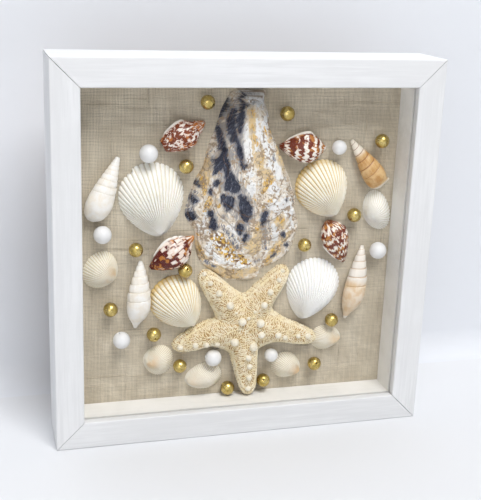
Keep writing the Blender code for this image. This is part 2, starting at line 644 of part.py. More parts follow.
def build_oyster(linen):
    """The oyster's upper valve: growth layers stepped back towards the hinge."""
    hinge = Vector(OYSTER_HINGE_SHARES)
    rings = []
    for reach, foot, edge in OYSTER_LAYER_SHARES:
        for scale, rise in ((reach, foot), (reach - OYSTER_FRILL_SHARE, edge)):
            ring = []
            for x, z, fold in OYSTER_OUTLINE_SHARES:
                point = (Vector((x, z)) - hinge) * scale * FIELD
                folded = rise + OYSTER_FOLD_SHARE * fold * scale if rise else 0
                ring.append((point.x, point.y, folded * RISE))
            rings.append(ring)
    top = (0, 0, OYSTER_HINGE_RISE_SHARE * RISE)
    item = add_object("oyster_shell", loft_mesh("oyster", rings, last=top), "oyster", linen, smooth=40)
    item.location = on_linen(*hinge)


def starfish_outline():
    """Outline of the starfish about its centre, as (x, y, lift) with the tips rounded."""
    outline = []
    arms = zip(STARFISH_ARM_SHARES, STARFISH_NOTCH_SHARES)
    for (direction, reach, lift), (notch_direction, notch_reach) in arms:
        notch_angle = math.radians(notch_direction)
        outline.append((notch_reach * math.cos(notch_angle), notch_reach * math.sin(notch_angle), 0))
        turn = Matrix.Rotation(math.radians(direction), 2)
        sides = [(along, half) for along, half in STARFISH_SIDE_SHARES]
        rows = sides + [(1.0, 0)] + [(along, -half) for along, half in reversed(sides)]
        for along, half in rows:
            point = turn @ Vector((along * reach, half))
            outline.append((point.x, point.y, lift * along ** 2))
    return outline


def build_starfish(linen):
    """Five blunt arms about a domed disc, each with a row of knobs along its middle."""
    outline = starfish_outline()
    per_arm = len(outline) // len(STARFISH_ARM_SHARES)
    tip_index = len(STARFISH_SIDE_SHARES) + 1
    rings = []
    for count, row in enumerate(STARFISH_ROW_SHARES):
        dome = math.sqrt(1 - row ** 2)
        ring = []
        for i, (x, y, lift) in enumerate(outline):
            knobbed = i % per_arm == tip_index and count % 2 and row < 1
            knob = STARFISH_KNOB_SHARE if knobbed else 0
            rise = (STARFISH_HEIGHT_SHARE * dome + knob) * (1 - lift) + lift * row ** 2
            ring.append((x * row * FIELD, y * row * FIELD, rise * RISE))
        rings.append(ring)
    top = (0, 0, STARFISH_HEIGHT_SHARE * RISE)
    mesh = loft_mesh("starfish", rings, first=top, last=(0, 0, 0))
    item = add_object("starfish", mesh, "starfish", linen, smooth=50)
    item.location = on_linen(*STARFISH_CENTRE_SHARES)


def build_bead(name, x, z, size, tilt, turn, finish_name, linen):
    """A drilled bead: a ball with a bore, tilted from the linen's normal."""
    radius = size / 2
    bore = BEAD_BORE_SHARE * size / 2
    lean = math.degrees(math.asin(bore / radius))
    profile = arc_points((0, 0), radius, 90 - lean, lean - 90, BEAD_ARC_STEPS)
    bead = turned_object(name, profile, True, BEAD_SIDES, finish_name, linen, True)
    bead.location = on_linen(x, z, radius + SEAT_GAP)
    bead.rotation_euler = (math.radians(tilt), 0, math.radians(turn))


def build_beads(linen):
    """Fifteen gold beads of one size, and seven white ones of their own sizes."""
    for i, (x, z, tilt, turn) in enumerate(GOLD_BEAD_SHARES):
        size = GOLD_BEAD_SIZE_SHARE * FIELD
        build_bead(f"gold_bead_{i + 1:02}", x, z, size, tilt, turn, "gold_pearl", linen)
    for i, (x, z, size) in enumerate(WHITE_BEAD_SHARES):
        turn = WHITE_BEAD_TURN_STEP * i
        build_bead(f"white_bead_{i + 1}", x, z, size * FIELD, WHITE_BEAD_TILT, turn, "white_pearl", linen)


clear_scene()
PARTS = new_collection("shadow_box")
GUIDES = new_collection("guides")
CUTTERS = new_collection("cutters")
for side_name, (side_inward, side_length, side_span) in SIDES.items():
    build_rail(side_name, side_inward, side_length, side_span)
    build_turn_button(side_name, side_inward, side_span)
build_layers()
build_hanger()
linen_face = add_empty("linen_face", upright(LINEN_Y))
build_oyster(linen_face)
build_starfish(linen_face)
build_cockles(linen_face)
build_coiled_shells(linen_face)
build_beads(linen_face)
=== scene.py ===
"""Looks of a square shadow box: painted rails, linen, seashells, beads and the hardware behind.

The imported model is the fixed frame. Its plain solids keep their place and get their
finishes here, or are replaced by finer pieces that stand where they stand.
Lengths are in metres and angles in radians unless a name says otherwise.
"""

import functools
import itertools
import logging
import math
from dataclasses import dataclass
from enum import Enum
from typing import Optional, Sequence

import bmesh
import bpy
import numpy as np
from mathutils import Matrix, Vector


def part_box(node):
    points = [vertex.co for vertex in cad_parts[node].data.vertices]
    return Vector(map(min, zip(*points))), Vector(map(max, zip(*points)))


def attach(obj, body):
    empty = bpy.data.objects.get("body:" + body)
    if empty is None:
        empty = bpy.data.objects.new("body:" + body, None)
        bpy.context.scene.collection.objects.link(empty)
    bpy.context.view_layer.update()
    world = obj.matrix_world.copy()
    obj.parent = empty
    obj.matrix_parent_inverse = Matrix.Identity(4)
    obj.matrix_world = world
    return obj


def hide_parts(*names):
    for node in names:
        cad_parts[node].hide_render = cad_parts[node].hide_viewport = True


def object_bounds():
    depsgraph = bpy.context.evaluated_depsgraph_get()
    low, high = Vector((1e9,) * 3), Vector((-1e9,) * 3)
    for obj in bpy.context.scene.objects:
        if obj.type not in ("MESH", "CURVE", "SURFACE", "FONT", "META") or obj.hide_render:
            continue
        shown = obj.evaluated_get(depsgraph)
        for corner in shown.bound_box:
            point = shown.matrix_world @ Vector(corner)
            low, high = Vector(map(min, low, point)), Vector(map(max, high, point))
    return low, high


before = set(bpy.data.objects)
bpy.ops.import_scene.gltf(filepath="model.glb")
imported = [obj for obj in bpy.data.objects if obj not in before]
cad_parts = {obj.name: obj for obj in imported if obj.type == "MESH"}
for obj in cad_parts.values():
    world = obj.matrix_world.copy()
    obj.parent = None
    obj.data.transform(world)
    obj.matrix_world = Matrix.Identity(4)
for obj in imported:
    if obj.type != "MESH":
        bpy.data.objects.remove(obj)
CAD_LOW, CAD_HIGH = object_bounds()

LOG = logging.getLogger("shadow_box")
BOX_BODY = "box"
MM = 0.001

Colour = tuple[float, float, float]
Pair = tuple[float, float]
Stroke = Sequence[tuple[float, float, float]]
Socket = bpy.types.NodeSocket
Tree = bpy.types.NodeTree
Node = bpy.types.Node
Item = bpy.types.Object
Mesh = bpy.types.Mesh
Material = bpy.types.Material
Array = np.ndarray


# Relief and meshes


class Relief:
    """Smooth random relief that comes out the same on every run."""

    CELLS = 32

    def __init__(self, seed: int) -> None:
        """Fill the lattice.

        Args:
            seed: picks one relief.
        """
        self.lattice = np.random.default_rng(seed).random((self.CELLS,) * 3)

    def at(self, points: Array, pitch: float) -> Array:
        """Read one layer of relief.

        Args:
            points: places, with their three coordinates last.
            pitch: distance between lumps.

        Returns:
            Heights from -1 to 1, one for each place.
        """
        scaled = points / pitch
        cell = np.floor(scaled).astype(int)
        inner = scaled - cell
        eased = inner * inner * (3 - 2 * inner)
        total = np.zeros(points.shape[:-1])
        for corner in itertools.product((0, 1), repeat=3):
            index = (cell + corner) % self.CELLS
            weight = np.prod(np.where(np.array(corner) == 1, eased, 1 - eased), axis=-1)
            total += weight * self.lattice[index[..., 0], index[..., 1], index[..., 2]]
        return 2 * total - 1

    def layered(self, points: Array, pitch: float, layers: int = 3) -> Array:
        """Add up layers of relief, each half as high and half as wide as the last.

        Args:
            points: places, with their three coordinates last.
            pitch: distance between the largest lumps.
            layers: how many layers.

        Returns:
            Heights from about -1 to 1.
        """
        total = np.zeros(points.shape[:-1])
        for layer in range(layers):
            total += self.at(points + layer * pitch, pitch / 2 ** layer) / 2 ** layer
        return total / (2 - 0.5 ** (layers - 1))


def ease(value: Array, low: float, high: float) -> Array:
    """Rise smoothly from 0 at low to 1 at high."""
    share = np.clip((value - low) / (high - low), 0, 1)
    return share * share * (3 - 2 * share)


def bell(value: Array, centre: float, spread: float) -> Array:
    """A smooth bump of height 1 at the centre."""
    return np.exp(-(((value - centre) / spread) ** 2))


def smooth_loop(points: Array, count: int) -> Array:
    """Draw a round closed line through points.

    Args:
        points: the corners, two numbers each.
        count: how many points the line has.

    Returns:
        Points at even distances along the line.
    """
    corners = len(points)
    place = np.linspace(0, corners, corners * 40, endpoint=False)
    index = place.astype(int)
    share = (place - index)[:, None]
    before, here, after, beyond = (points[(index + step) % corners] for step in (-1, 0, 1, 2))
    line = 0.5 * (
        2 * here + (after - before) * share + (2 * before - 5 * here + 4 * after - beyond) * share ** 2
        + (3 * here - before - 3 * after + beyond) * share ** 3
    )
    closed = np.vstack([line, line[:1]])
    run = np.concatenate([[0], np.cumsum(np.linalg.norm(np.diff(closed, axis=0), axis=1))])
    even = np.linspace(0, run[-1], count, endpoint=False)
    return np.stack([np.interp(even, run, closed[:, axis]) for axis in range(points.shape[1])], axis=1)


def along_table(table: Sequence[Pair], place: Array) -> Array:
    """Read a table of (place, value) pairs with a smooth line through them.

    Args:
        table: the pairs, in order of place.
        place: where it is read.

    Returns:
        The values there.
    """
    places = np.array([row[0] for row in table])
    values = np.array([row[1] for row in table])
    slopes = np.gradient(values, places)
    index = np.clip(np.searchsorted(places, place) - 1, 0, len(places) - 2)
    width = places[index + 1] - places[index]
    t = np.clip((place - places[index]) / width, 0, 1)
    return (
        (2 * t ** 3 - 3 * t ** 2 + 1) * values[index] + (t ** 3 - 2 * t ** 2 + t) * width * slopes[index]
        + (3 * t ** 2 - 2 * t ** 3) * values[index + 1] + (t ** 3 - t ** 2) * width * slopes[index + 1]
    )


def recalculated(mesh: Mesh, merge: float = 0.0) -> Mesh:
    """Turn every face of a closed mesh outward.

    Args:
        mesh: the mesh, which is changed.
        merge: points closer than this become one first.

    Returns:
        The same mesh.
    """
    bm = bmesh.new()
    bm.from_mesh(mesh)
    if merge:
        bmesh.ops.remove_doubles(bm, verts=bm.verts, dist=merge)
    bmesh.ops.recalc_face_normals(bm, faces=bm.faces)
    bm.to_mesh(mesh)
    bm.free()
    return mesh


def heightened(flat: Array, height: object = 0.0) -> Array:
    """Give flat places their height as a third number."""
    return np.concatenate([flat, np.broadcast_to(height, flat.shape[:-1])[..., None]], axis=-1)


def mesh_of(name: str, bm: bmesh.types.BMesh) -> Mesh:
    """Keep an edited shape as a new mesh and end the edit.

    Args:
        name: the mesh's name.
        bm: the edited shape.

    Returns:
        The new mesh.
    """
    mesh = bpy.data.meshes.new(name)
    bm.to_mesh(mesh)
    bm.free()
    return mesh


def ball_mesh(name: str, fineness: int) -> Mesh:
    """Make a ball of radius 1 from triangles.

    Args:
        name: the mesh's name.
        fineness: how often its triangles are divided.

    Returns:
        The new mesh.
    """
    bm = bmesh.new()
    bmesh.ops.create_icosphere(bm, subdivisions=fineness, radius=1.0)
    return mesh_of(name, bm)


def linked(name: str, data: bpy.types.ID) -> Item:
    """Put an object into the scene.

    Args:
        name: the object's name.
        data: its mesh, lamp or camera.

    Returns:
        The new object.
    """
    item = bpy.data.objects.new(name, data)
    bpy.context.scene.collection.objects.link(item)
    return item


def new_object(name: str, mesh: Mesh, material: Material) -> Item:
    """Put a mesh into the scene with one material, shaded smooth.

    Args:
        name: the object's name.
        mesh: its mesh, in place.
        material: its finish.

    Returns:
        The new object.
    """
    mesh.materials.clear()
    mesh.materials.append(material)
    mesh.shade_smooth()
    return linked(name, mesh)


def ring_mesh(name: str, rings: Array, first: Optional[Array] = None,
              last: Optional[Array] = None, values: Optional[dict[str, Array]] = None,
              looped: bool = False) -> Mesh:
    """Skin closed rings of points.

    Args:
        name: the mesh's name.
        rings: rows of rings, each with as many points, three coordinates each.
        first: the point that closes the first ring, or None for a flat cap.
        last: the point that closes the last ring, or None for a flat cap.
        values: one or three numbers to keep at each point, by attribute name, in rows like the rings.
        looped: whether the last ring joins the first, so that there are no ends to close.

    Returns:
        A closed mesh whose faces point outward.
    """
    rows, columns = rings.shape[:2]
    points = rings.reshape(-1, 3)
    across = np.arange(columns)
    following = (across + 1) % columns
    faces = []
    for row in range(rows if looped else rows - 1):
        low, high = row * columns, (row + 1) % rows * columns
        faces += np.stack([low + across, low + following, high + following, high + across], axis=1).tolist()
    poles = []
    for start, pole in () if looped else ((0, first), ((rows - 1) * columns, last)):
        if pole is None:
            faces.append((start + across).tolist())
            continue
        tip = len(points) + len(poles)
        poles.append(pole)
        faces += [(start + a, start + b, tip) for a, b in zip(across.tolist(), following.tolist())]
    mesh = bpy.data.meshes.new(name)
    mesh.from_pydata([*points.tolist(), *(tuple(pole) for pole in poles)], [], faces)
    for key, grid in (values or {}).items():
        kept = grid.reshape(rows, columns, -1)
        ends = [kept[index].mean(axis=0) for index, pole in ((0, first), (-1, last)) if pole is not None]
        numbers = np.vstack([kept.reshape(rows * columns, -1), *ends]).astype(np.float32)
        kind, field = ("FLOAT_VECTOR", "vector") if numbers.shape[1] == 3 else ("FLOAT", "value")
        mesh.attributes.new(key, kind, "POINT").data.foreach_set(field, numbers.ravel())
    return recalculated(mesh)


# Shader wiring


class Wiring:
    """Adds nodes to a tree and joins them. A value may be a number, a colour, a vector or a socket."""

    def __init__(self, tree: Tree) -> None:
        """Keep the tree that the nodes go into."""
        self.tree = tree

    def add(self, kind: str, inputs: Optional[dict] = None, **settings: object) -> Node:
        """Add a node.

        Args:
            kind: the node's type.
            inputs: values by input name or index.
            settings: properties of the node.

        Returns:
            The new node.
        """
        node = self.tree.nodes.new(kind)
        for key, value in settings.items():
            setattr(node, key, value)
        self.feed(node, inputs or {})
        return node

    def feed(self, node: Node, inputs: dict) -> None:
        """Give inputs their values, or links where a value is a socket.

        Args:
            node: the node.
            inputs: values by input name or index.
        """
        for key, value in inputs.items():
            socket = node.inputs[key]
            if isinstance(value, Socket):
                self.tree.links.new(value, socket)
            elif isinstance(value, tuple) and len(value) == 3 and socket.type == "RGBA":
                socket.default_value = (*value, 1.0)
            else:
                socket.default_value = value

    def math(self, operation: str, *values: object) -> Socket:
        """Do arithmetic on values."""
        return self.add("ShaderNodeMath", dict(enumerate(values)), operation=operation).outputs[0]

    def plus(self, *values: object) -> Socket:
        """Add two values or more."""
        return functools.reduce(lambda total, value: self.math("ADD", total, value), values)

    def times(self, *values: object) -> Socket:
        """Multiply two values or more."""
        return functools.reduce(lambda total, value: self.math("MULTIPLY", total, value), values)

    def vector(self, operation: str, *values: object) -> Socket:
        """Do arithmetic on vectors."""
        return self.add("ShaderNodeVectorMath", dict(enumerate(values)), operation=operation).outputs[0]

    def split(self, value: object) -> Sequence[Socket]:
        """Take a vector's three numbers apart."""
        return self.add("ShaderNodeSeparateXYZ", {0: value}).outputs

    def blend(self, share: object, low: object, high: object) -> Socket:
        """Mix two colours, from the low one at share 0 to the high one at 1."""
        return self.add("ShaderNodeMix", {0: share, 6: low, 7: high}, data_type="RGBA").outputs[2]

    def between(self, share: object, low: object, high: object) -> Socket:
        """Mix two numbers, from the low one at share 0 to the high one at 1."""
        return self.add("ShaderNodeMix", {0: share, 2: low, 3: high}).outputs[0]

    def span(self, value: object, low: float, high: float, start: float = 0.0, end: float = 1.0,
             shape: str = "SMOOTHSTEP") -> Socket:
        """Turn one range of values into another.

        Args:
            value: what is read.
            low: the value that gives start.
            high: the value that gives end.
            start: the result at low and before it.
            end: the result at high and past it.
            shape: the interpolation.

        Returns:
            The result's socket.
        """
        inputs = {"Value": value, "From Min": low, "From Max": high, "To Min": start, "To Max": end}
        return self.add("ShaderNodeMapRange", inputs, interpolation_type=shape).outputs["Result"]

    def noise(self, vector: object, scale: object, detail: float = 3.0, distortion: float = 0.0) -> Socket:
        """Read a noise texture's value.

        Args:
            vector: the coordinates.
            scale: lumps to the metre.
            detail: finer layers.
            distortion: how far the coordinates are stirred.

        Returns:
            The value's socket.
        """
        inputs = {"Vector": vector, "Scale": scale, "Detail": detail, "Distortion": distortion}
        return self.add("ShaderNodeTexNoise", inputs).outputs["Fac"]

    def wave(self, phase: object) -> Socket:
        """A smooth wave from 0 to 1 that repeats with each whole number of the phase."""
        return self.math("MULTIPLY_ADD", self.math("SINE", self.times(phase, 2 * math.pi)), 0.5, 0.5)

    def attribute(self, name: str, output: str = "Fac") -> Socket:
        """Read a value, or with output Vector a vector, that the mesh keeps at its points."""
        return self.add("ShaderNodeAttribute", attribute_name=name).outputs[output]

    def drawn_out(self, name: str, lumps: tuple[float, float, float]) -> Socket:
        """Read a vector that the mesh keeps, stretched so that 1 is a lump's size along each axis."""
        return self.vector("MULTIPLY", self.attribute(name, "Vector"), lumps)

    def place(self) -> Socket:
        """Object coordinates, in metres."""
        return self.add("ShaderNodeTexCoord").outputs["Object"]

    def bump(self, height: object, depth: float, **more: Socket) -> Socket:
        """Turn a height from 0 to 1 into a normal, where 1 stands for the depth."""
        return self.add("ShaderNodeBump", {"Height": height, "Distance": depth, "Strength": 1.0, **more}
                        ).outputs["Normal"]


def new_tree(name: str, kind: str, inputs: dict[str, str], outputs: dict[str, str]
             ) -> tuple[Wiring, Sequence[Socket], Node]:
    """Start a node group.

    Args:
        name: the group's name.
        kind: the tree's type.
        inputs: the kind of each input's socket, by the input's name.
        outputs: the kind of each output's socket, by the output's name.

    Returns:
        Its wiring, its inputs by name, and the node that takes its outputs.
    """
    tree = bpy.data.node_groups.new(name, kind)
    for way, sockets in (("INPUT", inputs), ("OUTPUT", outputs)):
        for key, form in sockets.items():
            tree.interface.new_socket(key, in_out=way, socket_type=f"NodeSocket{form}")
    wiring = Wiring(tree)
    return wiring, wiring.add("NodeGroupInput").outputs, wiring.add("NodeGroupOutput")


class Effect(Enum):
    """Surface effects that more than one material uses, each one shader node group."""

    FIBRE = "fibre_grain"
    CLOUDS = "cloudy_tint"
    SPECKS = "fine_specks"
    GROWTH = "growth_lines"

    def placed(self, wiring: Wiring, **inputs: object) -> Sequence[Socket]:
        """Put the effect's group into a material.

        Args:
            wiring: the material's wiring.
            inputs: values by the group's input names.

        Returns:
            The group's outputs by name.
        """
        group = bpy.data.node_groups.get(self.value) or EFFECT_MAKERS[self](self.value)
        return wiring.add("ShaderNodeGroup", inputs, node_tree=group).outputs


def make_fibre(name: str) -> Tree:
    """Long thin fibres, as in wood grain, paper and brushed metal.

    Args:
        name: the group's name.

    Returns:
        The group.
    """
    wiring, given, result = new_tree(name, "ShaderNodeTree", {"Vector": "Vector", "Stretch": "Vector",
                                                              "Scale": "Float"}, {"Height": "Float", "Tone": "Float"})
    drawn = wiring.vector("MULTIPLY", given["Vector"], given["Stretch"])
    fine = wiring.noise(drawn, given["Scale"], detail=4.0)
    broad = wiring.noise(drawn, wiring.times(given["Scale"], 0.22), detail=2.0, distortion=0.6)
    height = wiring.times(wiring.plus(fine, broad), 0.5)
    wiring.feed(result, {"Height": height, "Tone": wiring.span(height, 0.38, 0.62)})
    return wiring.tree


def make_clouds(name: str) -> Tree:
    """Soft patches between two colours.

    Args:
        name: the group's name.

    Returns:
        The group.
    """
    wiring, given, result = new_tree(name, "ShaderNodeTree", {"Vector": "Vector", "Scale": "Float", "Low": "Color",
                                                              "High": "Color"}, {"Color": "Color", "Mask": "Float"})
    mask = wiring.span(wiring.noise(given["Vector"], given["Scale"], detail=5.0, distortion=0.4), 0.36, 0.64)
    wiring.feed(result, {"Color": wiring.blend(mask, given["Low"], given["High"]), "Mask": mask})
    return wiring.tree


def make_specks(name: str) -> Tree:
    """Small separate specks or pits.

    Args:
        name: the group's name.

    Returns:
        The group.
    """
    wiring, given, result = new_tree(name, "ShaderNodeTree", {"Vector": "Vector", "Scale": "Float", "Size": "Float"},
                                     {"Mask": "Float"})
    inputs = {"Vector": given["Vector"], "Scale": given["Scale"]}
    distance = wiring.add("ShaderNodeTexVoronoi", inputs).outputs["Distance"]
    wiring.feed(result, {"Mask": wiring.span(wiring.math("SUBTRACT", given["Size"], distance), -0.05, 0.12)})
    return wiring.tree


def make_growth(name: str) -> Tree:
    """Lines across a shell where it grew, from a value that runs along it.

    Args:
        name: the group's name.

    Returns:
        The group.
    """
    wiring, given, result = new_tree(name, "ShaderNodeTree", {"Along": "Float", "Vector": "Vector", "Lines": "Float",
                                                              "Stir": "Float"}, {"Height": "Float", "Mask": "Float"})
    stir = wiring.times(wiring.noise(given["Vector"], 90.0, detail=2.0), given["Stir"])
    height = wiring.wave(wiring.plus(wiring.times(given["Along"], given["Lines"]), stir))
    wiring.feed(result, {"Height": height, "Mask": wiring.math("POWER", height, 3.0)})
    return wiring.tree


EFFECT_MAKERS = {
    Effect.FIBRE: make_fibre, Effect.CLOUDS: make_clouds, Effect.SPECKS: make_specks, Effect.GROWTH: make_growth,
}


# Finishes


def dimmed(colour: Colour, share: float) -> Colour:
    """Take a share of a colour."""
    return tuple(channel * share for channel in colour)


@dataclass(frozen=True)
class Finish:
    """A material by name. Each kind of finish wires its own shader."""

    name: str

    def material(self) -> Material:
        """Return the material, made on first use."""
        made = bpy.data.materials.get(f"{self.name}_finish")
        if made is None:
            made = bpy.data.materials.new(f"{self.name}_finish")
            made.use_nodes = True
            wiring = Wiring(made.node_tree)
            wiring.feed(made.node_tree.nodes["Principled BSDF"], self.wired(wiring))
        return made

    def wired(self, wiring: Wiring) -> dict[str, object]:
        """Wire the material up to its shader. Each kind of finish has its own.

        Args:
            wiring: the material's wiring.

        Returns:
            What goes into the shader, by input name.
        """
        raise NotImplementedError


class Grain(Enum):
    """Which way fibres run, as the stretch of the coordinates."""

    ALONG_X = (0.05, 1.0, 1.0)
    ALONG_Z = (1.0, 1.0, 0.05)
    EVEN = (1.0, 1.0, 1.0)


class Stain(Enum):
    """Stains on the oyster, by the name of the mask that its mesh keeps."""

    NAVY = "navy"
    HAZE = "haze"
    SLATE = "slate"
    SAND = "sand"
    CHALK = "chalk"
    OCHRE = "ochre"
    MOSAIC = "mosaic"


@dataclass(frozen=True)
class PaintFinish(Finish):
    """Matt paint over faint wood grain."""

    colour: Colour
    grain: Grain

    def wired(self, wiring: Wiring) -> dict[str, object]:
        """Wire paint, grain and a little unevenness.

        Args:
            wiring: the material's wiring.

        Returns:
            The shader's inputs by name.
        """
        place = wiring.place()
        fibre = Effect.FIBRE.placed(wiring, Vector=place, Stretch=self.grain.value, Scale=900.0)
        shade = dimmed(self.colour, 0.95)
        clouds = Effect.CLOUDS.placed(wiring, Vector=place, Scale=22.0, Low=shade, High=self.colour)
        return {
            "Base Color": wiring.blend(fibre["Tone"], dimmed(shade, 0.97), clouds["Color"]),
            "Roughness": wiring.span(fibre["Height"], 0.3, 0.7, 0.46, 0.60),
            "Normal": wiring.bump(fibre["Height"], 0.00012),
        }


@dataclass(frozen=True)
class BoardFinish(Finish):
    """Pressed fibre: paper, soft board and hardboard."""

    colour: Colour
    dark: Colour
    grain: Grain
    roughness: float
    speck_scale: float

    def wired(self, wiring: Wiring) -> dict[str, object]:
        """Wire fibres, patches and specks.

        Args:
            wiring: the material's wiring.

        Returns:
            The shader's inputs by name.
        """
        place = wiring.place()
        fibre = Effect.FIBRE.placed(wiring, Vector=place, Stretch=self.grain.value, Scale=520.0)
        clouds = Effect.CLOUDS.placed(wiring, Vector=place, Scale=40.0, Low=self.dark, High=self.colour)
        specks = Effect.SPECKS.placed(wiring, Vector=place, Scale=self.speck_scale, Size=0.16)
        toned = wiring.blend(wiring.times(fibre["Tone"], 0.6), clouds["Color"], self.colour)
        return {
            "Base Color": wiring.blend(wiring.times(specks["Mask"], 0.5), toned, self.dark),
            "Roughness": self.roughness,
            "Normal": wiring.bump(fibre["Height"], 0.0002),
        }


@dataclass(frozen=True)
class GlassFinish(Finish):
    """A thin clear pane: it mirrors a little and lets the rest of the light through."""

    cover: float = 0.05

    def wired(self, wiring: Wiring) -> dict[str, object]:
        """Wire a mirror whose cover follows the angle of view.

        Args:
            wiring: the material's wiring.

        Returns:
            The shader's inputs by name.
        """
        fresnel = wiring.add("ShaderNodeFresnel", {"IOR": 1.45}).outputs[0]
        return {"Base Color": (0.96, 0.98, 0.98), "Metallic": 1.0, "Roughness": 0.04,
                "Alpha": wiring.times(fresnel, self.cover)}


@dataclass(frozen=True)
class LinenFinish(Finish):
    """Coarse natural cloth in a plain weave with uneven threads, on the piece's own UV map in metres."""

    light: Colour
    dark: Colour
    threads_per_metre: float

    def wired(self, wiring: Wiring) -> dict[str, object]:
        """Wire threads both ways, each with its own tone and thickness.

        Args:
            wiring: the material's wiring.

        Returns:
            The shader's inputs by name.
        """
        uv = wiring.add("ShaderNodeUVMap", uv_map="cloth").outputs["UV"]
        heights, tones = [], []
        for stretch, along in (((1.0, 0.030, 0.0), 0), ((0.030, 1.0, 0.0), 1)):
            drawn = wiring.vector("MULTIPLY", uv, stretch)
            tones.append(wiring.noise(drawn, self.threads_per_metre * 0.9, detail=1.0))
            stir = wiring.times(wiring.noise(uv, 160.0, detail=2.0), 1.1)
            heights.append(wiring.wave(wiring.math("MULTIPLY_ADD", wiring.split(uv)[along], self.threads_per_metre,
                                                   stir)))
        weave, streaks = wiring.times(wiring.plus(*heights), 0.5), wiring.times(wiring.plus(*tones), 0.5)
        raised = wiring.plus(wiring.times(weave, 0.6), wiring.times(streaks, 0.6))
        clouds = Effect.CLOUDS.placed(wiring, Vector=uv, Scale=55.0, Low=self.dark, High=self.light)
        # partly painted shade: the colour darkens where the weave dips between threads, along with the threads' own
        # uneven tone
        tone = wiring.span(raised, 0.33, 0.76)
        return {
            "Base Color": wiring.blend(tone, dimmed(self.dark, 0.58), clouds["Color"]),
            "Roughness": 0.95, "Specular IOR Level": 0.2, "Sheen Weight": 0.12,
            "Normal": wiring.bump(raised, 0.0004),
        }


@dataclass(frozen=True)
class ZincFinish(Finish):
    """Zinc plate with fine scratches and dull patches."""

    colour: Colour

    def wired(self, wiring: Wiring) -> dict[str, object]:
        """Wire metal with uneven gloss.

        Args:
            wiring: the material's wiring.

        Returns:
            The shader's inputs by name.
        """
        place = wiring.place()
        fibre = Effect.FIBRE.placed(wiring, Vector=place, Stretch=(0.2, 1.0, 1.0), Scale=1800.0)
        clouds = Effect.CLOUDS.placed(wiring, Vector=place, Scale=220.0, Low=dimmed(self.colour, 0.8),
                                      High=self.colour)
        return {
            "Base Color": clouds["Color"], "Metallic": 1.0,
            "Roughness": wiring.span(fibre["Height"], 0.3, 0.7, 0.24, 0.46),
            "Normal": wiring.bump(fibre["Height"], 0.00002),
        }


@dataclass(frozen=True)
class ValveFinish(Finish):
    """A ribbed valve: pale ribs, darker grooves that are partly painted shade, a tinted margin and a tinted hinge
    end.
    """

    rib: Colour
    groove: Colour
    margin: Colour
    hinge: Colour
    margin_share: float
    hinge_share: float

    def wired(self, wiring: Wiring) -> dict[str, object]:
        """Wire colour by rib and by distance from the hinge.

        Args:
            wiring: the material's wiring.

        Returns:
            The shader's inputs by name.
        """
        place = wiring.place()
        rib, along, side = (wiring.attribute(key) for key in ("rib", "along", "side"))
        growth = Effect.GROWTH.placed(wiring, Along=along, Vector=place, Lines=26.0, Stir=0.9)
        clouds = Effect.CLOUDS.placed(wiring, Vector=place, Scale=130.0, Low=self.groove, High=self.rib)
        crest = wiring.span(rib, 0.05, 0.60)
        # partly painted shade: the grooves take the darker groove colour where the ribs stand high, away from the
        # hinge; that colour also tints the patches and the margin
        hollow = wiring.times(wiring.math("SUBTRACT", 1.0, crest), wiring.span(along, 0.0, 0.40))
        patched = wiring.blend(0.12, wiring.blend(hollow, self.rib, self.groove), clouds["Color"])
        reach = wiring.times(wiring.span(along, 0.35, 1.0), side)
        rim = wiring.times(wiring.span(along, 0.90, 0.985), side)
        stain = wiring.math("MAXIMUM", wiring.times(reach, hollow), rim)
        edge = wiring.math("MULTIPLY_ADD", stain, self.margin_share, wiring.times(growth["Mask"], reach, 0.22))
        rimmed = wiring.blend(wiring.math("MINIMUM", edge, 1.0), patched, self.margin)
        near = wiring.times(wiring.span(along, 0.62, 0.10), self.hinge_share)
        stirred = wiring.times(near, wiring.span(wiring.noise(place, 110.0), 0.3, 0.65))
        return {
            "Base Color": wiring.blend(stirred, rimmed, self.hinge),
            "Roughness": wiring.span(rib, 0.0, 1.0, 0.60, 0.40),
            "Subsurface Weight": 0.10, "Subsurface Radius": (0.004, 0.003, 0.002), "Subsurface Scale": 0.5,
            "Normal": wiring.bump(wiring.plus(growth["Height"], wiring.noise(place, 900.0)), 0.00005),
        }


@dataclass(frozen=True)
class BandedFinish(Finish):
    """A long coiled shell: a base tint, bands at the sutures and a paler tip and foot."""

    light: Colour
    deep: Colour
    seam: Colour
    tip: Colour
    band_share: float
    seam_share: float
    tip_from: float
    foot_to: float

    def wired(self, wiring: Wiring) -> dict[str, object]:
        """Wire bands that follow the coil.

        Args:
            wiring: the material's wiring.

        Returns:
            The shader's inputs by name.
        """
        along, seam, band = (wiring.attribute(key) for key in ("along", "seam", "band"))
        growth = wiring.noise(wiring.drawn_out("turn", (8.0, 8.0, 2.5)), 1.0, detail=3.0)
        clouds = Effect.CLOUDS.placed(wiring, Vector=wiring.place(), Scale=170.0, Low=self.deep, High=self.light)
        banded = wiring.blend(wiring.times(band, self.band_share), clouds["Color"], self.deep)
        streaked = wiring.blend(wiring.span(growth, 0.50, 0.66, 0.0, 0.45), banded, self.light)
        pale = wiring.math("MAXIMUM", wiring.span(along, self.tip_from, self.tip_from + 0.10),
                           wiring.span(along, self.foot_to, self.foot_to * 0.6))
        line = wiring.times(wiring.span(seam, 0.30, 0.90), self.seam_share)
        return {
            "Base Color": wiring.blend(line, wiring.blend(pale, streaked, self.tip), self.seam),
            "Roughness": 0.32, "Coat Weight": 0.15, "Normal": wiring.bump(growth, 0.00020),
        }


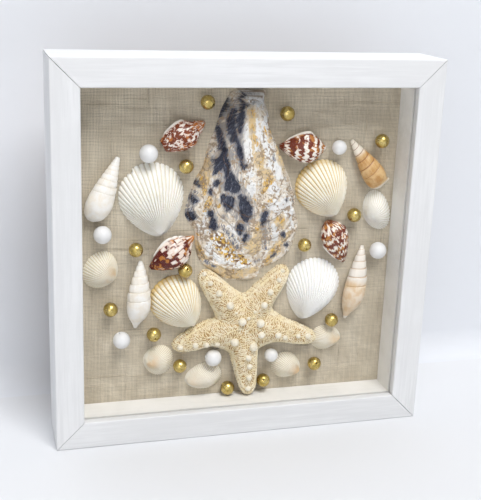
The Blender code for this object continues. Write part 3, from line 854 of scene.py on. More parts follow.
@dataclass(frozen=True)
class MottledFinish(Finish):
    """A conch: dark marks over white, with an orange end and a white lip."""

    white: Colour
    brown: Colour
    orange: Colour
    cover: float
    lumps: tuple[float, float, float]
    patches: float
    zigzag: float
    orange_from: float
    dark_to: float
    seed: float

    def wired(self, wiring: Wiring) -> dict[str, object]:
        """Wire marks drawn out along the coil.

        Args:
            wiring: the material's wiring.

        Returns:
            The shader's inputs by name.
        """
        along, lip, dark = (wiring.attribute(key) for key in ("along", "lip", "dark"))
        drawn = wiring.vector("ADD", wiring.drawn_out("turn", self.lumps), (self.seed, self.seed, self.seed))
        dash = wiring.noise(drawn, 1.0, detail=2.5, distortion=0.9)
        cell = wiring.add("ShaderNodeTexVoronoi", {"Vector": drawn, "Scale": 0.9}, distance="CHEBYCHEV")
        net = wiring.span(cell.outputs["Distance"], 0.06, 0.44, 0.32, 0.68, shape="LINEAR")
        marks = wiring.between(self.patches, dash, net)
        across, up, run = wiring.split(drawn)
        kink = wiring.math("PINGPONG", wiring.plus(across, up), 1.0)
        wave = wiring.math("PINGPONG", wiring.math("MULTIPLY_ADD", kink, 0.7, run), 1.0)
        zigzag = wiring.times(wiring.math("SUBTRACT", wave, 0.5), self.zigzag)
        field = wiring.plus(marks, zigzag, wiring.times(dark, 0.26))
        ended = wiring.plus(field, wiring.span(along, self.dark_to, self.dark_to - 0.2, 0.0, 0.18))
        mask = wiring.span(ended, 1 - self.cover - 0.015, 1 - self.cover + 0.03)
        warm = wiring.math("MAXIMUM", wiring.span(along, self.orange_from, self.orange_from + 0.2),
                           wiring.span(wiring.noise(wiring.place(), 260.0), 0.52, 0.62, 0.0, 0.8))
        pigment = wiring.blend(warm, self.brown, self.orange)
        stained = wiring.blend(wiring.span(ended, 0.36, 1 - self.cover, 0.0, 0.35), self.white, self.orange)
        coloured = wiring.blend(mask, stained, pigment)
        growth = wiring.noise(wiring.drawn_out("turn", (9.0, 9.0, 3.0)), 1.0, detail=3.0)
        return {
            "Base Color": wiring.blend(wiring.span(lip, 0.35, 0.8), coloured, self.white),
            "Roughness": 0.26, "Specular IOR Level": 0.30, "Coat Weight": 0.12,
            "Normal": wiring.bump(growth, 0.00015),
        }


@dataclass(frozen=True)
class OysterFinish(Finish):
    """An old oyster: chalk, navy, slate, sand and golden stains, which the mesh keeps as masks, and painted shade in
    its creases.
    """

    chalk: Colour
    blush: Colour
    drab: Colour
    navy: Colour
    slate: Colour
    sand: Colour
    gold: Colour
    umber: Colour

    def ragged(self, wiring: Wiring, stain: Stain, stir: Socket, low: float = 0.42, high: float = 0.60) -> Socket:
        """Read a stain's mask with edges that follow the stir.

        Args:
            wiring: the material's wiring.
            stain: which mask.
            stir: uneven values about 0.5.
            low: where the stain starts.
            high: where it covers all.

        Returns:
            The mask's socket.
        """
        mask = wiring.attribute(stain.value)
        torn = wiring.times(wiring.math("SUBTRACT", stir, 0.5), wiring.span(mask, 0.0, 0.25, 0.0, 2.6))
        return wiring.span(wiring.plus(mask, torn), low, high)

    def wired(self, wiring: Wiring) -> dict[str, object]:
        """Wire the stains over the layers, and painted shade in the creases.

        Args:
            wiring: the material's wiring.

        Returns:
            The shader's inputs by name.
        """
        place = wiring.place()
        streak = wiring.noise(wiring.drawn_out("fan", (18.0, 18.0, 90.0)), 1.0, detail=5.0, distortion=0.6)
        thread = wiring.noise(wiring.drawn_out("fan", (70.0, 70.0, 160.0)), 1.0, detail=5.0, distortion=1.6)
        fine = wiring.noise(place, 480.0, detail=5.0, distortion=0.7)
        stir = wiring.times(wiring.plus(streak, fine), 0.5)
        drawn = wiring.times(wiring.plus(streak, thread), 0.5)
        tiles = wiring.add("ShaderNodeTexVoronoi", {"Vector": place, "Scale": 640.0}).outputs["Color"]
        tile = wiring.add("ShaderNodeSeparateColor", {0: tiles}).outputs[0]
        plum = tuple(0.60 * dark + 0.19 * pale for dark, pale in zip(self.slate, self.blush))
        # brown is the painted shade colour for the creases and the feet of the ridges
        brown = tuple(0.5 * dark + 0.4 * pale for dark, pale in zip(self.umber, self.drab))
        base = wiring.blend(wiring.span(streak, 0.34, 0.60), self.drab, self.blush)
        base = wiring.blend(wiring.span(fine, 0.42, 0.66, 0.0, 0.8), base, self.chalk)
        sandy = wiring.blend(wiring.span(fine, 0.40, 0.56), self.drab, self.sand)
        chalky = wiring.blend(wiring.span(stir, 0.42, 0.54), dimmed(self.chalk, 0.84), self.chalk)
        golden = wiring.blend(wiring.span(fine, 0.40, 0.52), self.umber, self.gold)
        flecked = wiring.blend(wiring.span(thread, 0.52, 0.60, 0.0, 0.75), golden, self.blush)
        tiled = wiring.blend(wiring.span(tile, 0.24, 0.30), self.umber,
                             wiring.blend(wiring.span(tile, 0.60, 0.74), self.gold, self.chalk))
        dim = wiring.blend(wiring.span(drawn, 0.44, 0.62), plum, self.blush)
        hazy = wiring.blend(wiring.span(thread, 0.45, 0.60), self.slate, self.blush)
        deep = wiring.blend(wiring.span(thread, 0.52, 0.66), self.navy, self.slate)
        glint = wiring.blend(wiring.span(thread, 0.66, 0.74, 0.0, 0.6), deep, self.blush)
        for cover, colour in (
            (self.ragged(wiring, Stain.SAND, stir), sandy),
            (self.ragged(wiring, Stain.CHALK, stir), chalky),
            (self.ragged(wiring, Stain.OCHRE, stir), flecked),
            (self.ragged(wiring, Stain.MOSAIC, fine, 0.45, 0.55), tiled),
            (wiring.times(self.ragged(wiring, Stain.HAZE, stir), 0.85), dim),
            (self.ragged(wiring, Stain.SLATE, drawn), hazy),
            (wiring.times(self.ragged(wiring, Stain.NAVY, drawn, -0.05, 0.42), 0.8), plum),
            (self.ragged(wiring, Stain.NAVY, drawn, 0.36, 0.58), glint),
            (wiring.span(wiring.plus(wiring.attribute("brink"), fine), 1.10, 1.35, 0.0, 0.40), self.umber),
            # painted shade: the creases and the feet of the ridges turn dark brown, and deep navy inside navy stains
            (wiring.span(wiring.plus(wiring.attribute("painted_crevice_shade"), wiring.times(fine, 0.5)), 0.98, 0.56, 0.0, 0.88),
             wiring.blend(self.ragged(wiring, Stain.NAVY, drawn), brown, self.navy)),
            (wiring.times(Effect.SPECKS.placed(wiring, Vector=place, Scale=330.0, Size=0.14)["Mask"], 0.55),
             self.umber),
        ):
            base = wiring.blend(cover, base, colour)
        growth = Effect.GROWTH.placed(wiring, Along=wiring.attribute("along"), Vector=place, Lines=70.0, Stir=3.0)
        return {
            "Base Color": base,
            "Roughness": wiring.span(fine, 0.3, 0.7, 0.28, 0.55),
            "Normal": wiring.bump(stir, 0.0020, Normal=wiring.bump(growth["Height"], 0.00010)),
        }


@dataclass(frozen=True)
class GrittyFinish(Finish):
    """Dry starfish skin: two tones in patches with dark pores."""

    light: Colour
    dark: Colour
    pore: Colour
    pore_scale: float

    def wired(self, wiring: Wiring) -> dict[str, object]:
        """Wire patches and pores.

        Args:
            wiring: the material's wiring.

        Returns:
            The shader's inputs by name.
        """
        place = wiring.place()
        clouds = Effect.CLOUDS.placed(wiring, Vector=place, Scale=190.0, Low=self.dark, High=self.light)
        specks = Effect.SPECKS.placed(wiring, Vector=place, Scale=self.pore_scale, Size=0.34)
        return {
            "Base Color": wiring.blend(wiring.times(specks["Mask"], 0.55), clouds["Color"], self.pore),
            "Roughness": 0.85, "Normal": wiring.bump(wiring.noise(place, 1400.0), 0.0002),
        }


@dataclass(frozen=True)
class PearlFinish(Finish):
    """Bead lacquer: metallic gold, or soft white."""

    colour: Colour
    deep: Colour
    metallic: float
    roughness: float

    def wired(self, wiring: Wiring) -> dict[str, object]:
        """Wire a lacquer that is deeper in patches and a little uneven.

        Args:
            wiring: the material's wiring.

        Returns:
            The shader's inputs by name.
        """
        place = wiring.place()
        clouds = Effect.CLOUDS.placed(wiring, Vector=place, Scale=260.0, Low=self.deep, High=self.colour)
        return {
            "Base Color": clouds["Color"], "Metallic": self.metallic,
            "Roughness": wiring.span(clouds["Mask"], 0.0, 1.0, self.roughness + 0.06, self.roughness),
            "Coat Weight": 0.35, "Coat Roughness": 0.12,
            "Normal": wiring.bump(wiring.noise(place, 1600.0), 0.00002),
        }


WHITE_PAINT = (0.81, 0.815, 0.825)
PAINT_X = PaintFinish("paint_across", WHITE_PAINT, Grain.ALONG_X)
PAINT_Z = PaintFinish("paint_upright", WHITE_PAINT, Grain.ALONG_Z)
LINER_PAPER = BoardFinish("liner_paper", (0.90, 0.89, 0.865), (0.82, 0.81, 0.78), Grain.ALONG_X, 0.8, 900.0)
SOFT_BOARD = BoardFinish("soft_board", (0.62, 0.52, 0.38), (0.42, 0.34, 0.24), Grain.EVEN, 0.95, 500.0)
HARDBOARD = BoardFinish("hardboard", (0.36, 0.23, 0.13), (0.22, 0.13, 0.07), Grain.EVEN, 0.75, 420.0)
GLASS = GlassFinish("clear_pane")
LINEN = LinenFinish("linen_weave", (0.77, 0.69, 0.55), (0.65, 0.57, 0.44), 1100.0)
ZINC = ZincFinish("zinc_plate", (0.70, 0.71, 0.72))
COCKLE_WHITE = ValveFinish("cockle_white", (0.95, 0.935, 0.885), (0.76, 0.71, 0.58), (0.72, 0.66, 0.52),
                           (0.90, 0.87, 0.79), 0.25, 0.2)
COCKLE_SNOW = ValveFinish("cockle_snow", (0.95, 0.95, 0.935), (0.84, 0.82, 0.77), (0.80, 0.77, 0.70),
                          (0.92, 0.91, 0.88), 0.15, 0.2)
COCKLE_CREAM = ValveFinish("cockle_cream", (0.96, 0.93, 0.82), (0.74, 0.57, 0.26), (0.68, 0.47, 0.15),
                           (0.92, 0.88, 0.76), 0.85, 0.3)
COCKLE_TINTED = ValveFinish("cockle_tinted", (0.91, 0.87, 0.76), (0.64, 0.52, 0.31), (0.72, 0.58, 0.34),
                            (0.86, 0.60, 0.30), 0.35, 0.75)
COCKLE_PEACH = ValveFinish("cockle_peach", (0.92, 0.88, 0.78), (0.66, 0.56, 0.38), (0.78, 0.68, 0.50),
                           (0.90, 0.76, 0.56), 0.30, 0.6)
AUGER_WHITE = BandedFinish("auger_white", (0.91, 0.89, 0.85), (0.86, 0.80, 0.70), (0.70, 0.62, 0.50),
                           (0.92, 0.90, 0.86), 0.35, 0.55, 0.88, 0.04)
AUGER_TAN = BandedFinish("auger_tan", (0.70, 0.48, 0.23), (0.52, 0.27, 0.08), (0.30, 0.12, 0.04),
                         (0.86, 0.78, 0.66), 0.75, 0.90, 0.70, 0.13)
AUGER_PALE = BandedFinish("auger_pale", (0.84, 0.71, 0.56), (0.74, 0.53, 0.31), (0.50, 0.30, 0.14),
                          (0.86, 0.80, 0.72), 0.55, 0.70, 0.50, 0.05)
CONCH_FINE = MottledFinish("conch_fine", (0.94, 0.89, 0.83), (0.20, 0.040, 0.012), (0.60, 0.20, 0.04), 0.51,
                           (4.2, 4.2, 11.0), 0.15, 0.0, 0.74, 0.12, 3.7)
CONCH_RAYED = MottledFinish("conch_rayed", (0.94, 0.89, 0.82), (0.17, 0.030, 0.012), (0.55, 0.22, 0.05), 0.50,
                            (4.0, 4.0, 12.0), 0.0, 0.45, 0.70, 0.10, 8.1)
CONCH_BOLD = MottledFinish("conch_bold", (0.95, 0.91, 0.86), (0.12, 0.016, 0.010), (0.62, 0.24, 0.035), 0.39,
                           (3.0, 3.0, 7.5), 0.80, 0.0, 0.80, 0.46, 5.3)
CONCH_STRIPED = MottledFinish("conch_striped", (0.94, 0.90, 0.84), (0.18, 0.035, 0.015), (0.60, 0.27, 0.07), 0.50,
                              (5.0, 5.0, 10.0), 0.35, 0.25, 0.92, 0.10, 12.9)
OYSTER = OysterFinish("oyster_layers", (0.97, 0.96, 0.94), (0.91, 0.82, 0.69), (0.66, 0.53, 0.37),
                      (0.010, 0.014, 0.034), (0.16, 0.18, 0.24), (0.80, 0.61, 0.33), (0.74, 0.46, 0.10),
                      (0.22, 0.11, 0.04))
STAR_SKIN = GrittyFinish("starfish_skin", (0.62, 0.43, 0.21), (0.48, 0.30, 0.12), (0.28, 0.16, 0.06), 700.0)
STAR_KNOB = GrittyFinish("starfish_knobs", (0.90, 0.85, 0.73), (0.84, 0.77, 0.62), (0.70, 0.60, 0.42), 900.0)
STAR_GRAIN = GrittyFinish("starfish_granules", (0.94, 0.87, 0.69), (0.90, 0.79, 0.53), (0.70, 0.53, 0.28), 500.0)
GOLD_PEARL = PearlFinish("gold_pearl", (0.60, 0.47, 0.17), (0.46, 0.34, 0.09), 1.0, 0.25)
WHITE_PEARL = PearlFinish("white_pearl", (0.82, 0.82, 0.82), (0.79, 0.79, 0.79), 0.0, 0.45)


# Geometry node trees


class Patterns:
    """The geometry node trees that place what repeats."""

    @staticmethod
    def start(name: str, **inputs: str) -> tuple[Wiring, Sequence[Socket], Node]:
        """Start a tree from geometry to geometry.

        Args:
            name: the tree's name.
            inputs: the kind of each further input's socket. An underscore in its name stands for a space.

        Returns:
            Its wiring, its inputs by name, and the node that takes its result.
        """
        named = {key.replace("_", " "): kind for key, kind in inputs.items()}
        return new_tree(name, "GeometryNodeTree", {"Geometry": "Geometry", **named}, {"Geometry": "Geometry"})

    @staticmethod
    def end(wiring: Wiring, result: Node, geometry: Socket, material: Socket) -> Tree:
        """Make the instances real, give them their finish and close the tree.

        Args:
            wiring: the tree's wiring.
            result: the node that takes the result.
            geometry: the instances.
            material: the finish.

        Returns:
            The finished tree.
        """
        real = wiring.add("GeometryNodeRealizeInstances", {"Geometry": geometry}).outputs[0]
        finished = wiring.add("GeometryNodeSetMaterial", {"Geometry": real, "Material": material}).outputs[0]
        wiring.feed(result, {0: finished})
        return wiring.tree

    @staticmethod
    def kept(wiring: Wiring, name: str, kind: str = "FLOAT_VECTOR") -> Socket:
        """Read what a mesh keeps under a name."""
        return wiring.add("GeometryNodeInputNamedAttribute", {"Name": name}, data_type=kind).outputs[0]

    @staticmethod
    def copies(wiring: Wiring, copy: Socket, points: Socket, turn: Socket, size: Socket) -> Socket:
        """Put copies of an object at points.

        Args:
            wiring: the tree's wiring.
            copy: the object.
            points: where the copies go.
            turn: how each is turned.
            size: how large each is, along its three axes.

        Returns:
            The instances' socket.
        """
        shape = wiring.add("GeometryNodeObjectInfo", {"Object": copy}).outputs["Geometry"]
        inputs = {"Points": points, "Instance": shape, "Rotation": turn, "Scale": size}
        return wiring.add("GeometryNodeInstanceOnPoints", inputs).outputs[0]

    @classmethod
    def at_points(cls) -> Tree:
        """A copy of one object at each point, with the point's own size and turn. Returns the tree."""
        found = bpy.data.node_groups.get("copies_at_points")
        if found:
            return found
        wiring, given, result = cls.start("copies_at_points", Copy="Object", Material="Material")
        placed = cls.copies(wiring, given["Copy"], given["Geometry"], cls.kept(wiring, "turn"),
                            cls.kept(wiring, "size"))
        return cls.end(wiring, result, placed, given["Material"])

    @classmethod
    def scattered(cls) -> Tree:
        """Copies of one object strewn where the mask is 1, long side along the comb. Returns the tree."""
        wiring, given, result = cls.start(
            "copies_strewn", Copy="Object", Material="Material", Density="Float", Spacing="Float",
            Least_Size="Float", Most_Size="Float", Shape="Vector", Seed="Int",
        )
        strewn = wiring.add("GeometryNodeDistributePointsOnFaces", {
            "Mesh": given["Geometry"], "Distance Min": given["Spacing"], "Density Max": given["Density"],
            "Density Factor": cls.kept(wiring, "mask", "FLOAT"), "Seed": given["Seed"],
        }, distribute_method="POISSON").outputs
        size = wiring.add("FunctionNodeRandomValue", {
            2: given["Least Size"], 3: given["Most Size"], "Seed": given["Seed"],
        }).outputs[1]
        scale = wiring.add("ShaderNodeVectorMath", {0: given["Shape"], "Scale": size}, operation="SCALE").outputs[0]
        turned = wiring.add("FunctionNodeAlignRotationToVector", {
            "Rotation": strewn["Rotation"], "Vector": cls.kept(wiring, "comb"),
        }, axis="X", pivot_axis="Z").outputs[0]
        placed = cls.copies(wiring, given["Copy"], strewn["Points"], turned, scale)
        return cls.end(wiring, result, placed, given["Material"])

    @classmethod
    def threads(cls) -> Tree:
        """A round thread along each line of edges. Returns the tree."""
        wiring, given, result = cls.start("threads_on_lines", Thickness="Float", Sides="Int", Material="Material")
        lines = wiring.add("GeometryNodeMeshToCurve", {"Mesh": given["Geometry"]}).outputs[0]
        ring = wiring.add("GeometryNodeCurvePrimitiveCircle", {
            "Resolution": given["Sides"], "Radius": wiring.times(given["Thickness"], 0.5),
        }).outputs[0]
        skinned = wiring.add("GeometryNodeCurveToMesh", {
            "Curve": lines, "Profile Curve": ring, "Fill Caps": True,
        }).outputs[0]
        return cls.end(wiring, result, skinned, given["Material"])

    @staticmethod
    def applied(name: str, seed_object: Item, tree: Tree, values: dict[str, object]) -> Item:
        """Run a tree on an object and keep the result as a plain mesh.

        Args:
            name: the new object's name.
            seed_object: what the tree starts from, which is removed.
            tree: the tree.
            values: the tree's inputs by name.

        Returns:
            The new object.
        """
        modifier = seed_object.modifiers.new("pattern", "NODES")
        modifier.node_group = tree
        for item in tree.interface.items_tree:
            if item.item_type == "SOCKET" and item.in_out == "INPUT" and item.name in values:
                modifier[item.identifier] = values[item.name]
        mesh = evaluated(seed_object)
        seed_object.modifiers.remove(modifier)
        bpy.data.objects.remove(seed_object)
        mesh.name = name
        mesh.shade_smooth()
        return linked(name, mesh)


def evaluated(item: Item) -> Mesh:
    """Keep an object's shape after its modifiers as a new mesh."""
    return bpy.data.meshes.new_from_object(item.evaluated_get(bpy.context.evaluated_depsgraph_get()))


class Spots:
    """Places for copies, each with its own size and turn."""

    def __init__(self) -> None:
        """Start with none."""
        self.places, self.sizes, self.turns = [], [], []

    def add(self, place: Sequence[float], turn: Sequence[float], size: Sequence[float] = (1, 1, 1)) -> None:
        """Note one copy's place, its three Euler angles and its size along each axis."""
        for rows, row in ((self.places, place), (self.turns, turn), (self.sizes, size)):
            rows.append(tuple(row))

    def stamped(self, name: str, copy: Mesh, finish: Finish) -> Item:
        """Place a copy of a mesh at each spot, all as one object.

        Args:
            name: the object's name.
            copy: the mesh that is repeated.
            finish: what the copies are made of.

        Returns:
            The new object.
        """
        mesh = bpy.data.meshes.new(f"{name}_points")
        mesh.from_pydata(self.places, [], [])
        for key, rows in (("size", self.sizes), ("turn", self.turns)):
            attribute = mesh.attributes.new(key, "FLOAT_VECTOR", "POINT")
            attribute.data.foreach_set("vector", np.array(rows, np.float32).ravel())
        source = bpy.data.objects.new(f"{name}_copy", copy)
        item = Patterns.applied(name, linked(f"{name}_points", mesh), Patterns.at_points(),
                                {"Copy": source, "Material": finish.material()})
        bpy.data.objects.remove(source)
        return item


def turned_mesh(name: str, profile: Sequence[Pair], sides: int, looped: bool = False) -> Mesh:
    """Spin a profile about Z.

    Args:
        name: the mesh's name.
        profile: (radius, height) points down its outer side.
        sides: points round.
        looped: whether the profile closes on itself, as round a bore.

    Returns:
        A closed mesh.
    """
    angle = 2 * np.pi * np.arange(sides) / sides
    rows = np.array(profile)
    flat = np.stack([rows[:, :1] * np.cos(angle), rows[:, :1] * np.sin(angle)], axis=-1)
    return ring_mesh(name, heightened(flat, rows[:, 1:]), looped=looped)


def arc(width: float, height: float, steps: int) -> list[Pair]:
    """The side of a dome as (radius, height) points, from beside its top down to its foot."""
    angles = (math.pi / 2 * step / steps for step in range(1, steps + 1))
    return [(width * math.sin(angle), height * math.cos(angle)) for angle in angles]


def dressed(piece: Item, body: str, slot: str, *nodes: str) -> Item:
    """Let a new piece ride on a body and stand for its nodes, and report it.

    Args:
        piece: the piece, in place.
        body: the body that it rides on.
        slot: the record's material slot; not used.
        nodes: the nodes that it replaces.

    Returns:
        The same piece.
    """
    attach(piece, body)
    if nodes:
        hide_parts(*nodes)
    LOG.info("%s: %d faces on %s", piece.name, len(piece.data.polygons), body)
    return piece


def coated(node: str, finish: Finish) -> None:
    """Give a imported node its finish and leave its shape.

    Args:
        node: the node's name.
        finish: its finish.
    """
    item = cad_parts[node]
    item.data.materials.clear()
    item.data.materials.append(finish.material())
    LOG.info("%s: finished as %s", node, finish.name)


# Camera, light and stage


@dataclass
class Studio:
    """Camera, lamps, floor and wall around the box."""

    camera_place: tuple[float, float, float] = (-0.1674, -0.5835, 0.3073)
    turn_degrees: float = -15.92
    tilt_degrees: float = -16.93
    roll_degrees: float = -2.14
    focal_pixels: float = 960.1
    picture_height: float = 500.0
    sensor: float = 36.0
    backdrop: float = 0.80
    wall_y: float = 0.062
    cove: float = 0.020
    reach: float = 3.0

    LAMP_TARGET = Vector((0.0, 0.0, 0.12))
    LAMPS = (("key", (0.20, -1.10, 1.80), 0.9, 32.0), ("fill", (-0.9, -1.7, 0.6), 1.2, 5.6),
             ("back", (-0.3, 1.5, 1.4), 1.2, 4.0))
    COVE_STEPS = 8
    NEAREST, FARTHEST = 0.02, 40.0
    ROOM_COLOUR, DIMMEST, BRIGHTEST = (0.96, 0.97, 1.0), 0.06, 0.32
    FLOOR_COLOUR, WALL_COLOUR = (0.77, 0.78, 0.80), (0.78, 0.80, 0.84)

    def build(self) -> None:
        """Make everything that isn't part of the object."""
        bpy.context.scene.view_settings.view_transform = "Standard"
        self.place_camera()
        self.light_world()
        self.place_lamps()
        self.build_stage()
        LOG.info("studio: camera, lamps, floor and wall")

    def place_camera(self) -> None:
        """Put the camera where the photo was taken from."""
        data = bpy.data.cameras.new("camera")
        camera = linked("camera", data)
        turn = Matrix.Identity(3)
        for degrees, axis in ((self.turn_degrees, "Z"), (self.tilt_degrees, "X"), (self.roll_degrees, "Y")):
            turn = turn @ Matrix.Rotation(math.radians(degrees), 3, axis)
        axes = Matrix((turn.col[0], turn.col[2], -turn.col[1])).transposed()
        camera.matrix_world = Matrix.Translation(self.camera_place) @ axes.to_4x4()
        data.sensor_width = self.sensor
        data.lens = self.focal_pixels / self.picture_height * self.sensor
        data.clip_start, data.clip_end = self.NEAREST, self.FARTHEST
        bpy.context.scene.camera = camera

    def light_world(self) -> None:
        """Fill the room with pale light, dimmer near the horizon, behind a backdrop that is pale all round."""
        world = bpy.data.worlds.new("room")
        world.use_nodes = True
        wiring = Wiring(world.node_tree)
        up = wiring.split(wiring.add("ShaderNodeTexCoord").outputs["Generated"])[2]
        rays = wiring.add("ShaderNodeLightPath").outputs
        seen = wiring.math("MAXIMUM", rays["Is Camera Ray"], rays["Is Transmission Ray"])
        shown = wiring.math("MAXIMUM", seen, rays["Is Glossy Ray"])
        wiring.feed(world.node_tree.nodes["Background"], {
            "Color": self.ROOM_COLOUR,
            "Strength": wiring.between(shown, wiring.span(up, 0.0, 0.75, self.DIMMEST, self.BRIGHTEST),
                                       self.backdrop),
        })
        bpy.context.scene.world = world

    def place_lamps(self) -> None:
        """Hang large soft lamps in front, above and behind."""
        for name, place, size, power in self.LAMPS:
            data = bpy.data.lights.new(name, "AREA")
            data.energy, data.size = power, size
            lamp = linked(name, data)
            lamp.location = place
            lamp.rotation_euler = (self.LAMP_TARGET - Vector(place)).to_track_quat("-Z", "Y").to_euler()

    def build_stage(self) -> None:
        """Lay the floor and stand the wall behind the box, with a small cove between them."""
        angles = (math.pi / 2 * step / self.COVE_STEPS for step in range(1, self.COVE_STEPS + 1))
        cove = [(self.wall_y + self.cove * math.sin(angle), self.cove * (1 - math.cos(angle))) for angle in angles]
        for name, profile, colour in (
            ("floor", [(-self.reach, 0.0), (self.reach, 0.0)], self.FLOOR_COLOUR),
            ("wall", [(self.wall_y, 0.0005), *cove, (self.wall_y + self.cove, self.reach)], self.WALL_COLOUR),
        ):
            mesh = bpy.data.meshes.new(name)
            corners = [(side * self.reach, y, z) for y, z in profile for side in (-1, 1)]
            faces = [(2 * i, 2 * i + 1, 2 * i + 3, 2 * i + 2) for i in range(len(profile) - 1)]
            mesh.from_pydata(corners, [], faces)
            item = new_object(name, mesh, self.stage_material(name, colour))
            item.visible_shadow = name == "floor"

    @staticmethod
    def stage_material(name: str, colour: Colour) -> Material:
        """A plain matt surface that only its front side shows.

        Args:
            name: the material's name.
            colour: its colour.

        Returns:
            The material.
        """
        material = bpy.data.materials.new(f"{name}_plain")
        material.use_nodes = True
        wiring = Wiring(material.node_tree)
        behind = wiring.add("ShaderNodeNewGeometry").outputs["Backfacing"]
        wiring.feed(material.node_tree.nodes["Principled BSDF"], {
            "Base Color": colour, "Roughness": 0.9, "Specular IOR Level": 0.1,
            "Alpha": wiring.math("SUBTRACT", 1.0, behind),
        })
        return material


# The frame and its layers


@dataclass(frozen=True)
class Plot:
    """The linen face and the room in front of it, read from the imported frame."""

    half_x: float
    half_z: float
    middle_z: float
    face_y: float
    rise: float

    @classmethod
    def from_frame(cls) -> "Plot":
        """Read the opening from the rails' inner edges and the depth from the liner."""
        liner_low, liner_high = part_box("box_liner")
        top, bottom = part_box("frame_rail_top")[0].z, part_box("frame_rail_bottom")[1].z
        return cls(
            half_x=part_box("frame_rail_right")[0].x,
            half_z=(top - bottom) / 2,
            middle_z=(top + bottom) / 2,
            face_y=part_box("linen_cover")[0].y,
            rise=liner_high.y - liner_low.y,
        )

    @property
    def field(self) -> float:
        """The smaller half opening, which lengths on the linen are shares of."""
        return min(self.half_x, self.half_z)

    def spot(self, shares: Sequence[float]) -> Array:
        """Turn shares of the opening into metres across and up from the middle."""
        return np.array([shares[0] * self.half_x, shares[1] * self.half_z])

    def world(self, flat: Array) -> Array:
        """Turn (across, up, height off the linen) into places in the box's frame.

        Args:
            flat: places with those three numbers last.

        Returns:
            The places as x, y and z.
        """
        return np.stack([flat[..., 0], self.face_y - flat[..., 2], self.middle_z + flat[..., 1]], axis=-1)


@dataclass
class Rails:
    """Four mitred rails with a front lip, and the wavy nails that pin the mitres behind."""

    wall: float = 0.011
    face_width: float = 0.018
    lip: float = 0.005
    edge_radius: float = 0.0010
    edge_steps: int = 8
    mitre_gap: float = 0.0003
    nail_length: float = 0.010
    nail_wave: float = 0.0007
    nail_thickness: float = 0.0004
    nail_depth: float = 0.003
    nail_steps: int = 24

    NAIL_INSETS = (0.35, 0.70)

    def build(self) -> None:
        """Build the rails and their mitre nails."""
        width, height = CAD_HIGH.x - CAD_LOW.x, CAD_HIGH.z - CAD_LOW.z
        front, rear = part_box("frame_rail_top")[0].y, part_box("frame_rail_top")[1].y
        middle = (CAD_LOW.z + CAD_HIGH.z) / 2
        for side, inward, length, span, finish in (
            ("top", (0, 0, -1), width, height, PAINT_X), ("bottom", (0, 0, 1), width, height, PAINT_X),
            ("left", (1, 0, 0), height, width, PAINT_Z), ("right", (-1, 0, 0), height, width, PAINT_Z),
        ):
            inward = Vector(inward)
            across = inward.cross(Vector((0, 1, 0)))
            corner = Vector((0, front, middle)) - inward * span / 2
            rings = [[corner + across * (end * (length / 2 - u - self.mitre_gap / math.sqrt(2)))
                      + inward * u + Vector((0, v, 0)) for u, v in self.section(rear - front)] for end in (-1, 1)]
            mesh = ring_mesh(f"painted_rail_{side}", np.array(rings))
            piece = new_object(f"painted_rail_{side}", mesh, finish.material())
            mesh.set_sharp_from_angle(angle=math.radians(30))
            dressed(piece, BOX_BODY, "frame_paint", f"frame_rail_{side}")
        self.build_mitre_nails(rear, middle)

    def section(self, depth: float) -> list[Pair]:
        """The rail's section with rounded outer edges, as (inward, rearward) points.

        Args:
            depth: the rail's depth.

        Returns:
            The section's outline.
        """
        corners = [
            ((0.0, 0.0), 180, 270), ((self.face_width, 0.0), 270, 360), ((self.face_width, self.lip), 0, 0),
            ((self.wall, self.lip), 0, 0), ((self.wall, depth), 0, 90), ((0.0, depth), 90, 180),
        ]
        outline = []
        for (u, v), start, stop in corners:
            if start == stop:
                outline.append((u, v))
                continue
            centre_u = u + self.edge_radius * (1 if start in (180, 90) else -1)
            centre_v = v + self.edge_radius * (1 if start in (180, 270) else -1)
            for step in range(self.edge_steps + 1):
                angle = math.radians(start + (stop - start) * step / self.edge_steps)
                outline.append((centre_u + self.edge_radius * math.cos(angle),
                                centre_v + self.edge_radius * math.sin(angle)))
        return outline

    def build_mitre_nails(self, rear: float, middle: float) -> None:
        """Two wavy nails across the back of each mitre.

        Args:
            rear: the rails' rear face.
            middle: the height of the box's middle.
        """
        rings = []
        for step in range(self.nail_steps + 1):
            x = self.nail_length * (step / self.nail_steps - 0.5)
            y = self.nail_wave * math.sin(3 * math.pi * step / self.nail_steps)
            near, far = y - self.nail_thickness / 2, y + self.nail_thickness / 2
            rings.append([(x, near, -self.nail_depth), (x, far, -self.nail_depth), (x, far, 0.0), (x, near, 0.0)])
        nail = ring_mesh("mitre_nail", np.array(rings))
        spots = Spots()
        half_x, half_z = (CAD_HIGH.x - CAD_LOW.x) / 2, (CAD_HIGH.z - CAD_LOW.z) / 2
        for sx, sz, inset in itertools.product((-1, 1), (-1, 1), self.NAIL_INSETS):
            spots.add(Vector((sx * (half_x - inset * self.wall), rear + 0.05 * MM,
                              middle + sz * (half_z - inset * self.wall))),
                      (-math.pi / 2, math.radians(-45 * sx * sz), 0))
        dressed(spots.stamped("mitre_nails", nail, ZINC), BOX_BODY, "zinc")


